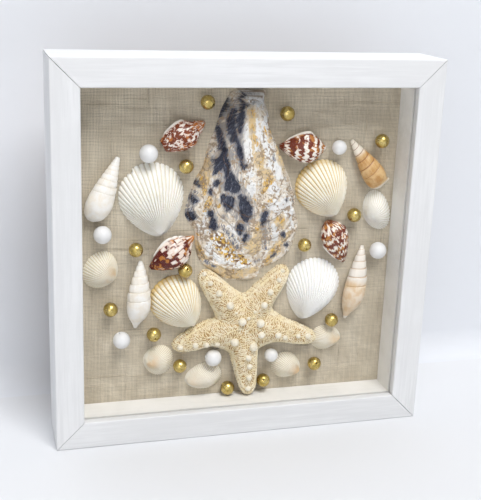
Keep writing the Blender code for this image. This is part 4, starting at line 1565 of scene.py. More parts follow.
@dataclass
class Layers:
    """What lies behind the lip: pane, liner, linen, pin board and back panel."""

    cloth_thickness: float = 0.0006
    cloth_cells: int = 140
    cloth_wave: float = 0.00012
    wave_pitch: float = 0.018
    slub_count: int = 170
    slub_thickness: float = 0.0005
    slub_steps: int = 10

    CLOTH_SEED, SLUB_SEED = 11, 23
    SLUB_HALVES = (0.004, 0.020)
    SLUB_LIFT, SLUB_SINK = 0.10 * MM, 0.62

    def build(self, plot: Plot) -> None:
        """Finish the flat layers and make the linen.

        Args:
            plot: the linen face.
        """
        for node, finish in (("front_glazing", GLASS), ("box_liner", LINER_PAPER), ("pin_board", SOFT_BOARD),
                             ("back_panel", HARDBOARD)):
            coated(node, finish)
        self.build_linen(plot)
        self.build_slubs(plot)

    def build_linen(self, plot: Plot) -> None:
        """Make the cloth: a slightly uneven face with its edges folded back round the board.

        Args:
            plot: the linen face.
        """
        low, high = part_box("linen_cover")
        cells = self.cloth_cells
        grid = np.stack(np.meshgrid(np.linspace(low.x, high.x, cells + 1), np.linspace(low.z, high.z, cells + 1),
                                    indexing="xy"), axis=-1)
        wave = Relief(self.CLOTH_SEED).layered(heightened(grid), self.wave_pitch)
        inside = np.minimum(1, 8 * np.minimum.reduce([
            (grid[..., 0] - low.x), (high.x - grid[..., 0]), (grid[..., 1] - low.z), (high.z - grid[..., 1]),
        ]) / (high.x - low.x))
        face_y = low.y + self.cloth_wave * (1 + wave) * inside
        bm = bmesh.new()
        uv_layer = bm.loops.layers.uv.new("cloth")
        rows = [[bm.verts.new((grid[r, c, 0], face_y[r, c], grid[r, c, 1])) for c in range(cells + 1)]
                for r in range(cells + 1)]
        for r, c in itertools.product(range(cells), repeat=2):
            bm.faces.new((rows[r][c], rows[r][c + 1], rows[r + 1][c + 1], rows[r + 1][c]))
        border = (rows[0][:-1] + [row[-1] for row in rows[:-1]] + rows[-1][:0:-1] + [row[0] for row in rows[:0:-1]])
        folded = [bm.verts.new((vert.co.x, high.y, vert.co.z)) for vert in border]
        for i, vert in enumerate(border):
            j = (i + 1) % len(border)
            bm.faces.new((border[j], vert, folded[i], folded[j]))
        for face in bm.faces:
            for loop in face.loops:
                x, z = loop.vert.co.x, loop.vert.co.z
                side = 1 if abs(x) > abs(z - plot.middle_z) else 0
                fold = loop.vert.co.y - low.y if face.normal.y > -0.5 else 0
                loop[uv_layer].uv = (x + math.copysign(fold, x) * side,
                                     z + math.copysign(fold, z - plot.middle_z) * (1 - side))
        piece = new_object("linen_cloth", mesh_of("linen_cloth", bm), LINEN.material())
        wall = piece.modifiers.new("cloth", "SOLIDIFY")
        wall.thickness, wall.offset = self.cloth_thickness, -1
        dressed(piece, BOX_BODY, "linen", "linen_cover")

    def build_slubs(self, plot: Plot) -> None:
        """Lay the thick stretches of thread that stand out of the weave.

        Args:
            plot: the linen face.
        """
        random = np.random.default_rng(self.SLUB_SEED)
        corners, edges = [], []
        for index in range(self.slub_count):
            centre = random.uniform(-1, 1, 2) * (plot.half_x, plot.half_z)
            half = random.uniform(*self.SLUB_HALVES)
            for step in range(self.slub_steps + 1):
                along = 2 * step / self.slub_steps - 1
                place = centre.copy()
                place[index % 2] += half * along
                place = np.clip(place, (-plot.half_x, -plot.half_z), (plot.half_x, plot.half_z))
                sink = self.SLUB_LIFT - self.slub_thickness * self.SLUB_SINK * (abs(along) ** 2)
                corners.append(tuple(plot.world(np.array([*place, sink]))))
                if step:
                    edges.append((len(corners) - 2, len(corners) - 1))
        mesh = bpy.data.meshes.new("slub_lines")
        mesh.from_pydata(corners, edges, [])
        piece = Patterns.applied("linen_slubs", linked("slub_lines", mesh), Patterns.threads(), {
            "Thickness": self.slub_thickness, "Sides": 6, "Material": LINEN.material(),
        })
        uv = piece.data.uv_layers.new(name="cloth")
        for loop in piece.data.loops:
            place = piece.data.vertices[loop.vertex_index].co
            uv.data[loop.index].uv = (place.x, place.z)
        dressed(piece, BOX_BODY, "linen")


# Shells


@dataclass
class LaidShell:
    """A shell laid on the linen, from its start to its end, in shares of the opening."""

    node: str
    start: Pair
    end: Pair
    width: float
    height: float
    finish: Finish
    slot: str

    def size(self, plot: Plot) -> tuple[float, float, float]:
        """Length, width and height in metres."""
        length = math.dist(self.start, self.end) * plot.field
        return length, self.width * plot.field, self.height * plot.rise

    def relief(self) -> Relief:
        """The shell's own unevenness, which its name picks."""
        return Relief(sum(map(ord, self.node)))

    def laid(self, plot: Plot, local: Array) -> Array:
        """Turn places along the shell into places in the box's frame.

        Args:
            plot: the linen face.
            local: (across, along, height) places about the shell's middle.

        Returns:
            The places as x, y and z.
        """
        start, end = plot.spot(self.start), plot.spot(self.end)
        along = (end - start) / np.linalg.norm(end - start)
        across = np.array([along[1], -along[0]])
        flat = (start + end) / 2 + local[..., :1] * across + local[..., 1:2] * along
        return plot.world(np.concatenate([flat, local[..., 2:]], axis=-1))

    def skinned(self, plot: Plot, kind: str, rings: Array, ends: Sequence[Array], values: dict[str, Array]
                ) -> Item:
        """Skin the shell's rings and give it its finish.

        Args:
            plot: the linen face.
            kind: what the piece is called after its node.
            rings: places about the shell's middle, in rows.
            ends: the points that close the first ring and the last.
            values: what the mesh keeps at its points.

        Returns:
            The shell's object.
        """
        name = f"{self.node}_{kind}"
        first, last = (self.laid(plot, end) for end in ends)
        mesh = ring_mesh(name, self.laid(plot, rings), first=first, last=last, values=values)
        return new_object(name, mesh, self.finish.material())


@dataclass
class Cockle(LaidShell):
    """A ribbed valve laid hollow side down. It starts at its hinge."""

    pinch: float = 0.34
    ribs: int = 42
    rib_height: float = 0.0010
    points_per_rib: int = 10
    rows: int = 64
    margin_side: float = 0.0
    nick: float = 0.0
    nick_turn: float = 3.5

    WALL_SHARE = 0.06
    FAN_SHARE = 0.08
    UMBO_SHARE = 0.88
    BEAK_SHARE = 0.26
    BEAK_SPREAD = 0.34
    PINCH_POWER = 3
    DOME_POWER = 2.2
    RIB_WIDTH = 0.62
    RIBS_FULL = 0.4
    FIRST_ROW = 0.02
    SCALLOP = 0.016
    WAVER = 0.012
    NICK_EDGE, NICK_SPREAD = 0.03, 0.35
    GROWTH_DEPTH, MARGIN_LIFT = 0.12 * MM, 0.7 * MM
    LEAST_RISE, FOOT = 0.2 * MM, 0.05 * MM
    INNER_ROWS = (1.0, 0.92, 0.80, 0.60, 0.40, 0.20)
    GROWTH_STEPS = (0.50, 0.66, 0.80, 0.91)

    def fan(self, towards_hinge: Array) -> Array:
        """How wide the valve is, as a share of an oval's width, from its far end at -1 to its hinge at 1."""
        return 1 - self.FAN_SHARE * towards_hinge - self.pinch * ((1 + towards_hinge) / 2) ** self.PINCH_POWER

    def margin(self, plot: Plot, turn: Array, inset: float) -> Array:
        """Draw the valve's outline.

        Args:
            plot: the linen face.
            turn: angles from the hinge.
            inset: how far the outline is moved in.

        Returns:
            (across, along) places, one for each angle.
        """
        length, width, _ = self.size(plot)
        return np.stack([np.sin(turn) * self.fan(np.cos(turn)) * (width / 2 - inset),
                         -np.cos(turn) * (length / 2 - inset)], axis=-1)

    def dome(self, plot: Plot, places: Array, inset: float) -> Array:
        """Say how high the valve stands.

        Args:
            plot: the linen face.
            places: (across, along) places.
            inset: how far the outline is moved in.

        Returns:
            Shares from 0 at the outline to 1 in the middle.
        """
        length, width, _ = self.size(plot)
        along = np.clip(places[..., 1] / (length / 2 - inset), -1, 1)
        across = places[..., 0] / (self.fan(-along) * (width / 2 - inset))
        return np.maximum(0, 1 - np.hypot(across, along) ** self.DOME_POWER)

    def build(self, plot: Plot) -> Item:
        """Build the valve.

        Args:
            plot: the linen face.

        Returns:
            The valve's object.
        """
        length, _, height = self.size(plot)
        columns = self.ribs * self.points_per_rib
        turn = 2 * np.pi * np.arange(columns) / columns
        phase = (turn * self.ribs / (2 * np.pi)) % 1
        rib = ease(1 - abs(2 * phase - 1), 0.0, self.RIB_WIDTH)
        umbo = np.array([0.0, -self.UMBO_SHARE * (length / 2)])
        wobble = self.relief().at(np.stack([np.cos(turn), np.sin(turn), 0 * turn], axis=-1), 0.5)
        facing = (1 - np.cos(turn)) / 2
        past = turn - self.nick_turn
        nick = self.nick * ease(past, -self.NICK_EDGE, self.NICK_EDGE) * np.exp(
            -np.maximum(past, 0) / self.NICK_SPREAD)
        rings, masks = [], {"rib": [], "along": [], "side": []}
        side = 0.5 + 0.5 * np.cos(turn - self.margin_side)
        for row in np.linspace(self.FIRST_ROW, 1.0, self.rows):
            cut = self.SCALLOP * (2 * rib - 1) * row * facing + self.WAVER * wobble * row ** 4 - nick * row ** 8
            flat = umbo + (self.margin(plot, turn, 0.0) * (1 + cut)[:, None] - umbo) * row
            beak = self.BEAK_SHARE * math.exp(-(row / self.BEAK_SPREAD) ** 2)
            rise = height * (self.dome(plot, flat, 0.0) + beak)
            rise += self.rib_height * (rib - 0.5) * facing ** 0.5 * ease(np.array(row), 0.0, self.RIBS_FULL)
            for step in self.GROWTH_STEPS:
                rise -= self.GROWTH_DEPTH * ease(row + self.WAVER * wobble, step, step + self.WAVER)
            rise += self.MARGIN_LIFT * row ** 6
            rings.append(heightened(flat, np.maximum(rise, self.LEAST_RISE)))
            for key, values in (("rib", 1 - (1 - rib) * ease(facing, 0.02, 0.25)), ("side", side),
                                ("along", np.full(columns, row))):
                masks[key].append(values)
        rings.append(heightened(rings[-1][:, :2], self.FOOT))
        wall = self.WALL_SHARE * length
        for row in self.INNER_ROWS:
            flat = self.margin(plot, turn, wall) * row
            rise = (height - wall) * self.dome(plot, flat, wall) if row < 1 else self.FOOT
            rings.append(heightened(flat, rise))
        inner = 1 + len(self.INNER_ROWS)
        for key, values in (("rib", np.full(columns, 0.6)), ("side", side), ("along", np.full(columns, 0.9))):
            masks[key] += [values] * inner
        ends = (np.array([*umbo, height * (self.dome(plot, umbo, 0.0) + self.BEAK_SHARE)]),
                np.array([0.0, 0.0, height - wall]))
        values = {key: np.array(grid) for key, grid in masks.items()}
        piece = self.skinned(plot, "valve", np.array(rings), ends, values)
        piece.data.set_sharp_from_angle(angle=math.radians(60))
        return dressed(piece, BOX_BODY, self.slot, self.node)


@dataclass
class Coil(LaidShell):
    """A coiled shell lying on its mouth side. It starts at its foot and ends at its apex."""

    stations: Sequence[Pair] = ()
    whorls: int = 6
    coil_start: float = 0.33
    taper: float = 0.30
    seam_depth: float = 0.05
    step_out: float = 0.04
    bulge: float = 0.02
    folds: int = 0
    fold_height: float = 0.0
    lip: float = 0.0
    lip_reach: Pair = (0.05, 0.70)
    spur: float = 0.0
    dark: tuple[float, float, float] = (0.0, 0.0, 1.0)
    rays: int = 0

    ROWS = 200
    SIDES = 96
    LAST_TURN = 0.9999
    SEAM_SPREAD = 0.06
    BAND_AFTER, BAND_BEFORE = 0.34, 0.10
    FOOT_FOLDS, SPIRE_FOLDS = 0.35, 0.65
    LIP_START, LIP_STOP, LIP_EDGE, LIP_PALE, LEAST_LIP = 0.12, 0.15, 0.55, 0.40, 0.1
    BACK_SHARE, BACK_EDGE = 0.8, 0.30
    SPUR_PLACE, SPUR_LENGTH, SPUR_TURN, SPUR_WIDTH = 0.03, 0.06, 0.85 * np.pi, 0.7
    DARK_WIDTH = 0.8
    RAY_START, RAY_WIDTH, RAY_DEPTH = 0.08, 0.25, 1.6
    LUMPS, LUMP_RUN, LUMP_PITCH, LUMP_SEED = 0.014, 4, 0.6, 7

    def relief(self) -> Relief:
        """The shell's own unevenness, which its name picks."""
        return Relief(sum(map(ord, self.node)) + self.LUMP_SEED)

    def build(self, plot: Plot) -> Item:
        """Build the shell.

        Args:
            plot: the linen face.

        Returns:
            The shell's object.
        """
        length, width, height = self.size(plot)
        psi = 2 * np.pi * np.arange(self.SIDES) / self.SIDES
        angle = np.pi - psi
        place = np.linspace(0.0, 1.0, self.ROWS)[:, None]
        radius = along_table(self.stations, place)
        climbed = np.clip((place - self.coil_start) / (1 - self.coil_start), 0, self.LAST_TURN)
        turns = (self.whorls + 1) * np.log(1 - climbed * (1 - self.taper)) / math.log(self.taper)
        coil = turns - psi / (2 * np.pi) * (turns > 0)
        spire = (coil > 0) * 1.0
        within = np.where(coil > 0, coil % 1, 0.5)
        seam = bell(within, 0.0, self.SEAM_SPREAD) + bell(within, 1.0, self.SEAM_SPREAD)
        shape = 1 + spire * (self.bulge * np.sin(np.pi * within) + self.step_out * (within - 0.5)
                             - self.seam_depth * seam)
        if self.folds:
            shape = shape + self.fold_height * np.cos(self.folds * psi + 2 * turns) * (
                self.FOOT_FOLDS + self.SPIRE_FOLDS * spire)
        low, high = self.lip_reach
        lip_band = ease(place, low, low + self.LIP_START) * (1 - ease(place, high - self.LIP_STOP, high))
        flare = self.lip * lip_band * np.maximum(
            bell(psi, 0.0, self.LIP_EDGE), self.BACK_SHARE * bell(psi, 2 * np.pi, self.BACK_EDGE))
        spur = self.spur * bell(place, self.SPUR_PLACE, self.SPUR_LENGTH) * bell(
            psi, self.SPUR_TURN, self.SPUR_WIDTH)
        round_about = np.broadcast_arrays(np.cos(psi), np.sin(psi), place)
        drawn = np.stack([*round_about[:2], round_about[2] * self.LUMP_RUN], axis=-1)
        lumps = self.relief().layered(drawn, self.LUMP_PITCH)
        swell = radius * shape * (1 + flare + spur) * (1 + self.LUMPS * lumps)
        across = width / 2 * swell * np.cos(angle)
        rise = height / 2 * (radius + radius * shape * (1 + self.LUMPS * lumps) * np.sin(angle))
        along = np.broadcast_to(length * (place - 0.5), across.shape)
        rings = np.stack([across, along, np.maximum(rise, 0.0) + 0.05 * MM], axis=-1)
        ends = [np.array([0.0, end * length / 2, height / 2 * radius[row, 0]]) for end, row in ((-1, 0), (1, -1))]
        centre, side, spread = self.dark
        shade = bell(place, centre, spread) * bell(psi, side * np.pi, self.DARK_WIDTH) * (spread < 1)
        if self.rays:
            gaps = bell(abs(np.sin(self.rays * (place - self.RAY_START) * np.pi)), 0.0, self.RAY_WIDTH)
            shade = shade - self.RAY_DEPTH * shade * gaps
        values = {key: np.broadcast_to(kept, across.shape) for key, kept in (
            ("seam", seam * spire), ("along", place), ("dark", shade),
            ("band", (bell(within, 0.0, self.BAND_AFTER) + bell(within, 1.0, self.BAND_BEFORE)) * spire),
            ("lip", lip_band * bell(psi, 0.0, self.LIP_PALE) * (self.lip > self.LEAST_LIP)),
        )}
        values["turn"] = np.stack(round_about, axis=-1)
        return dressed(self.skinned(plot, "coil", rings, ends, values), BOX_BODY, self.slot, self.node)


@dataclass
class Oyster:
    """The oyster's upper valve: frilled layers that step back towards the hinge."""

    outline: Sequence[tuple[float, float, float]]
    hinge: Pair
    stains: dict[Stain, Sequence[Stroke]]
    ridges: Sequence[Stroke]
    columns: int = 500
    rows: int = 192

    PROFILE = ((0.0, 0.50), (0.15, 0.60), (0.35, 0.64), (0.55, 0.58), (0.75, 0.44), (0.90, 0.27), (1.0, 0.11))
    LEDGES = ((0.955, 1.1), (0.90, 0.8), (0.84, 0.5), (0.77, 0.7), (0.69, 0.5), (0.60, 0.6), (0.48, 0.5),
              (0.34, 0.4))
    FIRST_ROW, ROW_POWER = 0.02, 0.85
    LAYER_SEED, GRIT_SEED, STIR_SEED = 41, 42, 51
    LEDGE_WAVES = ((0.032, 3.1, 0.42), (0.014, 5.7, 0.11))
    LEDGE_ARCS = (7.7, 0.55, -0.35, 0.25)
    LEDGE_WIDTH, BRINK_BACK, BRINK_SPREAD, BRINK_LINE, BRINK_WIDTH = 0.007, 0.008, 0.012, 0.004, 0.008
    FRILL_SHIFT, FRILL_PITCH, FRILL_FROM = 9.0, 0.10, 0.45
    FOLD_SHARE = 0.045
    STAIN_LIFTS = {Stain.NAVY: -0.55, Stain.SLATE: -0.25, Stain.CHALK: 0.55, Stain.OCHRE: 0.35, Stain.MOSAIC: -0.35}
    STAIN_EDGE, RIDGE_EDGE, RIDGE_FOOT = 2.6 * MM, 0.9 * MM, 2.2 * MM
    FRILL_RISE, FOLD_RISE, LUMP_RISE, GRIT_RISE = 0.9 * MM, 1.3 * MM, 0.8 * MM, 0.42 * MM
    FOLD_PITCH, LUMP_PITCH, GRIT_PITCH = 0.006, 0.008, 0.0024
    FOLD_TURN, FOLD_RUN = 0.030, 0.22
    RIDGE_RISE, RIDGE_DIP, LEAST_RISE = 1.3 * MM, 0.4 * MM, 0.1 * MM
    MOST_RISE = 0.70
    STIR_PITCH, STIR_REACH = 0.005, 1.5 * MM

    def build(self, plot: Plot) -> Item:
        """Build the valve.

        Args:
            plot: the linen face.

        Returns:
            The valve's object.
        """
        relief, fine = Relief(self.LAYER_SEED), Relief(self.GRIT_SEED)
        hinge = plot.spot(self.hinge)
        line = smooth_loop(np.array([(*plot.spot(point), point[2]) for point in self.outline]), self.columns)
        edge = line[:, :2] - hinge
        theta = np.arctan2(edge[:, 1], edge[:, 0])
        ray = np.stack([np.cos(theta), np.sin(theta), 0 * theta], axis=-1)
        scale = (np.linspace(self.FIRST_ROW, 1.0, self.rows) ** self.ROW_POWER)[:, None]
        flat = hinge + edge[None] * scale[..., None]
        shape = flat.shape[:2]
        rise = plot.rise * (along_table(self.PROFILE, np.broadcast_to(scale, shape))
                            + self.FOLD_SHARE * line[:, 2] * scale ** 3)
        brinks = np.zeros(shape)
        for index, (reach, depth) in enumerate(self.LEDGES):
            wobble = sum(reach_of * relief.at(ray + index * shift, pitch)
                         for reach_of, shift, pitch in self.LEDGE_WAVES)
            brink = reach + wobble * min(1.0, 5 * (1.01 - reach))
            shift, pitch, none, full = self.LEDGE_ARCS
            share = ease(relief.at(ray + index * shift, pitch), none, full)
            rise = rise + depth * share * MM * (0.5 - ease(scale - brink, 0.0, self.LEDGE_WIDTH))
            crest = bell(brink - scale, self.BRINK_BACK, self.BRINK_SPREAD) * (scale < brink)
            rise = rise + 0.5 * depth * share * MM * crest
            brinks = np.maximum(brinks, share * bell(scale - brink, self.BRINK_LINE, self.BRINK_WIDTH))
        frills = relief.at(ray + self.FRILL_SHIFT, self.FRILL_PITCH)
        rise = rise + self.FRILL_RISE * frills * ease(scale, self.FRILL_FROM, 1.0)
        spoke, out = np.broadcast_to(ray[:, :2], (*shape, 2)), np.linalg.norm(flat - hinge, axis=-1)
        folds = relief.layered(heightened(spoke * self.FOLD_TURN, out * self.FOLD_RUN), self.FOLD_PITCH)
        solid = heightened(flat)
        lumps, grit = fine.layered(solid, self.LUMP_PITCH), fine.layered(solid + 1, self.GRIT_PITCH, 2)
        rise = rise + self.FOLD_RISE * folds + self.LUMP_RISE * lumps + self.GRIT_RISE * grit
        masks = {stain.value: self.stained(plot, flat, strokes, self.STAIN_EDGE)
                 for stain, strokes in self.stains.items()}
        for stain, lift in self.STAIN_LIFTS.items():
            rise = rise + lift * MM * masks[stain.value]
        raised = self.stained(plot, flat, self.ridges, self.RIDGE_EDGE)
        beside = self.stained(plot, flat, self.ridges, self.RIDGE_FOOT) - raised
        rise = rise + self.RIDGE_RISE * raised - self.RIDGE_DIP * beside
        rise = rise * (1 - 0.9 * ease(scale, 0.985, 1.0)) + self.LEAST_RISE
        rise = np.clip(rise, self.LEAST_RISE, self.MOST_RISE * plot.rise)
        # painted shade mask: low in the relief's creases and beside the ridges, where the finish paints them dark
        lines = bell(folds + 0.5 * grit, -0.12, 0.07) + bell(lumps + 0.5 * grit, -0.15, 0.06)
        masks["painted_crevice_shade"] = np.clip(1 - 0.75 * lines * ease(scale, 0.05, 0.2) - 1.2 * beside, 0, 1)
        masks["brink"] = brinks
        masks["along"] = np.broadcast_to(scale, shape)
        masks["fan"] = heightened(spoke, out)
        under = [plot.world(heightened(hinge + edge * share))[None] for share in (1.0, 0.5)]
        mesh = ring_mesh("oyster_valve", np.concatenate([plot.world(heightened(flat, rise)), *under]),
                         first=plot.world(np.array([*hinge, rise[0].mean()])),
                         last=plot.world(np.array([*hinge, 0.0])),
                         values={key: np.concatenate([rows, rows[-1:], rows[-1:]]) for key, rows in masks.items()})
        return dressed(new_object("oyster_valve", mesh, OYSTER.material()), BOX_BODY, "oyster", "oyster_shell")

    @classmethod
    def stained(cls, plot: Plot, flat: Array, strokes: Sequence[Stroke], soft: float) -> Array:
        """Paint strokes with soft, stirred edges.

        Args:
            plot: the linen face.
            flat: places across and up, in metres.
            strokes: each a list of place x, place z and half width, in shares.
            soft: how wide the edges fade.

        Returns:
            Shares from 0 to 1 at each place.
        """
        relief = Relief(cls.STIR_SEED)
        stir = np.stack([relief.layered(heightened(flat) + shift, cls.STIR_PITCH, 4) for shift in (0.3, 0.7)],
                        axis=-1)
        moved = flat + cls.STIR_REACH * stir
        cover = np.zeros(flat.shape[:2])
        for stroke in strokes:
            spots = [(plot.spot(spot), spot[2] * plot.field) for spot in stroke]
            for (start, thick), (end, thin) in zip(spots, spots[1:] or spots):
                run = end - start
                share = np.clip(((moved - start) @ run) / max(run @ run, 1e-12), 0, 1)
                away = np.linalg.norm(moved - (start + share[..., None] * run), axis=-1)
                half = thick + (thin - thick) * share
                cover = np.maximum(cover, 1 - ease(away - half, -soft, soft))
        return cover


@dataclass
class Starfish:
    """Five arms about a domed disc, with knobs, fine granules and a comb of plates along the edges."""

    centre: Pair
    arms: Sequence[tuple[float, float, float]]
    notches: Sequence[Pair]
    sides: Sequence[Pair]
    knobs: Sequence[tuple[float, float, float]]
    height: float = 0.64
    columns: int = 480
    rows: int = 90
    granule: float = 0.00066
    plate_pitch: float = 0.00150

    SKIN_RISE, SKIN_PITCH, LEAST_RISE, UNDERSIDE = 0.40 * MM, 0.006, 0.05 * MM, 0.6 * MM
    GRANULE_DENSITY, GRANULE_SPACING, GRANULE_SHAPE = 3.0e6, 0.00092, (1.35, 0.62, 0.90)
    LEAST_GRANULE, MOST_GRANULE = 0.8, 1.3
    SKIN_SEED, GRANULE_SEED = 77, 5
    PLATE_ROWS = ((0.975, 0.0012, 0.00052), (0.90, 0.0015, 0.00050))
    KNOB_STEPS = 14

    def outline(self) -> Array:
        """The outline about the centre, in shares, with each point's lift as a third number."""
        points = []
        for (direction, reach, lift), (notch, depth) in zip(self.arms, self.notches):
            angle = math.radians(notch)
            points.append((depth * math.cos(angle), depth * math.sin(angle), 0.0))
            turn = Matrix.Rotation(math.radians(direction), 2)
            for along, half in (*self.sides, (1.0, 0.0), *[(a, -h) for a, h in reversed(self.sides)]):
                place = turn @ Vector((along * reach, half))
                points.append((place.x, place.y, lift * along ** 2))
        return smooth_loop(np.array(points), self.columns)

    def surface(self, plot: Plot, row: Array) -> Array:
        """Places on the upper side.

        Args:
            plot: the linen face.
            row: shares of the way from the centre to the edge, one for each row.

        Returns:
            (across, up, height) places in rows.
        """
        edge = self.outline()
        row = row[:, None]
        flat = plot.spot(self.centre) + edge[None, :, :2] * plot.field * row[..., None]
        lift = edge[:, 2][None]
        dome = np.maximum(0, 1 - row ** 2.3) ** 0.5
        rise = plot.rise * (self.height * dome * (1 - lift * row ** 2) + lift * row ** 2)
        rise = rise + self.SKIN_RISE * Relief(self.SKIN_SEED).layered(heightened(flat), self.SKIN_PITCH) * dome
        return heightened(flat, np.maximum(rise, self.LEAST_RISE))

    def comb(self, plot: Plot) -> Array:
        """Find the directions square to the outline.

        Args:
            plot: the linen face.

        Returns:
            One direction for each column, in the box's frame.
        """
        edge = self.outline()[:, :2]
        along = np.roll(edge, -4, axis=0) - np.roll(edge, 4, axis=0)
        out = np.stack([along[:, 1], -along[:, 0]], axis=-1)
        flat = heightened(out / np.linalg.norm(out, axis=1, keepdims=True))
        return plot.world(flat) - plot.world(0 * flat)

    def build(self, plot: Plot) -> None:
        """Build the skin and everything on it.

        Args:
            plot: the linen face.
        """
        centre = plot.spot(self.centre)
        upper = self.surface(plot, np.sin(np.linspace(0.03, 1.0, self.rows) * math.pi / 2))
        edge = upper[-1, :, :2]
        under = heightened(edge, np.maximum(self.outline()[:, 2] * plot.rise - self.UNDERSIDE, 0.0))
        inner = heightened(centre + (edge - centre) * 0.4)
        rings = np.concatenate([upper, under[None], inner[None]])
        mask = np.ones(rings.shape[:2])
        mask[-2:] = 0
        mesh = ring_mesh("starfish_skin", plot.world(rings),
                         first=plot.world(np.array([*centre, upper[0, :, 2].mean()])),
                         last=plot.world(np.array([*centre, 0.0])),
                         values={"mask": mask, "comb": np.broadcast_to(self.comb(plot), rings.shape)})
        skin = new_object("starfish_skin", mesh, STAR_SKIN.material())
        self.build_granules(skin)
        dressed(skin, BOX_BODY, "starfish", "starfish")
        self.build_knobs(plot, upper)
        self.build_plates(plot)

    def build_granules(self, skin: Item) -> None:
        """Strew fine granules over the skin, each drawn out square to the nearest edge.

        Args:
            skin: the skin, which keeps its own mesh.
        """
        source = bpy.data.objects.new("granule", ball_mesh("granule", 1))
        ground = linked("granule_ground", skin.data.copy())
        piece = Patterns.applied("starfish_granules", ground, Patterns.scattered(), {
            "Copy": source, "Material": STAR_GRAIN.material(), "Density": self.GRANULE_DENSITY,
            "Spacing": self.GRANULE_SPACING, "Least Size": self.granule * self.LEAST_GRANULE,
            "Most Size": self.granule * self.MOST_GRANULE, "Shape": self.GRANULE_SHAPE, "Seed": self.GRANULE_SEED,
        })
        bpy.data.objects.remove(source)
        dressed(piece, BOX_BODY, "starfish")

    def build_knobs(self, plot: Plot, upper: Array) -> None:
        """Set the large knobs along the arms and on the disc.

        Args:
            plot: the linen face.
            upper: the skin's places.
        """
        angles = (math.pi * step / self.KNOB_STEPS for step in range(1, self.KNOB_STEPS))
        knob = turned_mesh("knob", [(math.sin(a) * (1.0 - 0.12 * math.sin(a)), math.cos(a)) for a in angles], 20)
        ground = upper.reshape(-1, 3)
        spots = Spots()
        for *share, size in self.knobs:
            spot = plot.spot(share)
            near = ground[np.argmin(np.linalg.norm(ground[:, :2] - spot, axis=1))]
            radius = size * plot.field
            spots.add(plot.world(np.array([*spot, near[2] + 0.15 * radius])), (math.pi / 2, 0, 0),
                      (radius, radius, radius * 0.95))
        dressed(spots.stamped("starfish_knobs", knob, STAR_KNOB), BOX_BODY, "starfish")

    def build_plates(self, plot: Plot) -> None:
        """Set short plates side by side along the edges, square to them.

        Args:
            plot: the linen face.
        """
        edge = self.outline()[:, :2] * plot.field
        length = np.linalg.norm(np.diff(np.vstack([edge, edge[:1]]), axis=0), axis=1).sum()
        count = int(length / self.plate_pitch)
        spots = Spots()
        for row, reach, half in self.PLATE_ROWS:
            line = self.surface(plot, np.array([row - 0.03, row, row + 0.02]))
            for index in range(count):
                column = int(index * self.columns / count)
                following = (column + 1) % self.columns
                before, here, after = (Vector(plot.world(line[r, column])) for r in range(3))
                down = (after - before).normalized()
                along = (Vector(plot.world(line[1, following])) - here).normalized()
                out = along.cross(down).normalized()
                if out.y > 0:
                    out = -out
                spots.add(here, Matrix((down, out.cross(down), out)).transposed().to_euler(),
                          (reach, half, half * 1.2))
        dressed(spots.stamped("starfish_edge_plates", ball_mesh("edge_plate", 2), STAR_GRAIN), BOX_BODY,
                "starfish")


# Beads and hardware


@dataclass
class Beads:
    """Drilled beads of one kind, as one object."""

    name: str
    nodes: Sequence[str]
    tilts_degrees: Sequence[Pair]
    finish: Finish
    slot: str
    bore_share: float = 0.13
    rim_lean: float = 1.25
    rim_round: float = 0.03
    steps: int = 26
    sides: int = 40

    def build(self) -> Item:
        """Build a bead and place it where each solid bead is.

        Returns:
            The beads' object.
        """
        lean = math.asin(self.bore_share) * self.rim_lean
        angles = (lean + (math.pi - 2 * lean) * step / self.steps for step in range(self.steps + 1))
        lip = math.cos(lean) - self.rim_round
        profile = [*((math.sin(a), math.cos(a)) for a in angles), (self.bore_share, -lip), (self.bore_share, lip)]
        bead = turned_mesh("bead", profile, self.sides, looped=True)
        spots = Spots()
        for node, (tilt, turn) in zip(self.nodes, self.tilts_degrees):
            low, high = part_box(node)
            axis = Matrix.Rotation(math.radians(90), 3, "X") @ Matrix.Rotation(
                math.radians(turn), 3, "Z") @ Matrix.Rotation(math.radians(tilt), 3, "X")
            spots.add((low + high) / 2, axis.to_euler(), ((high.z - low.z) / 2,) * 3)
        return dressed(spots.stamped(self.name, bead, self.finish), BOX_BODY, self.slot, *self.nodes)


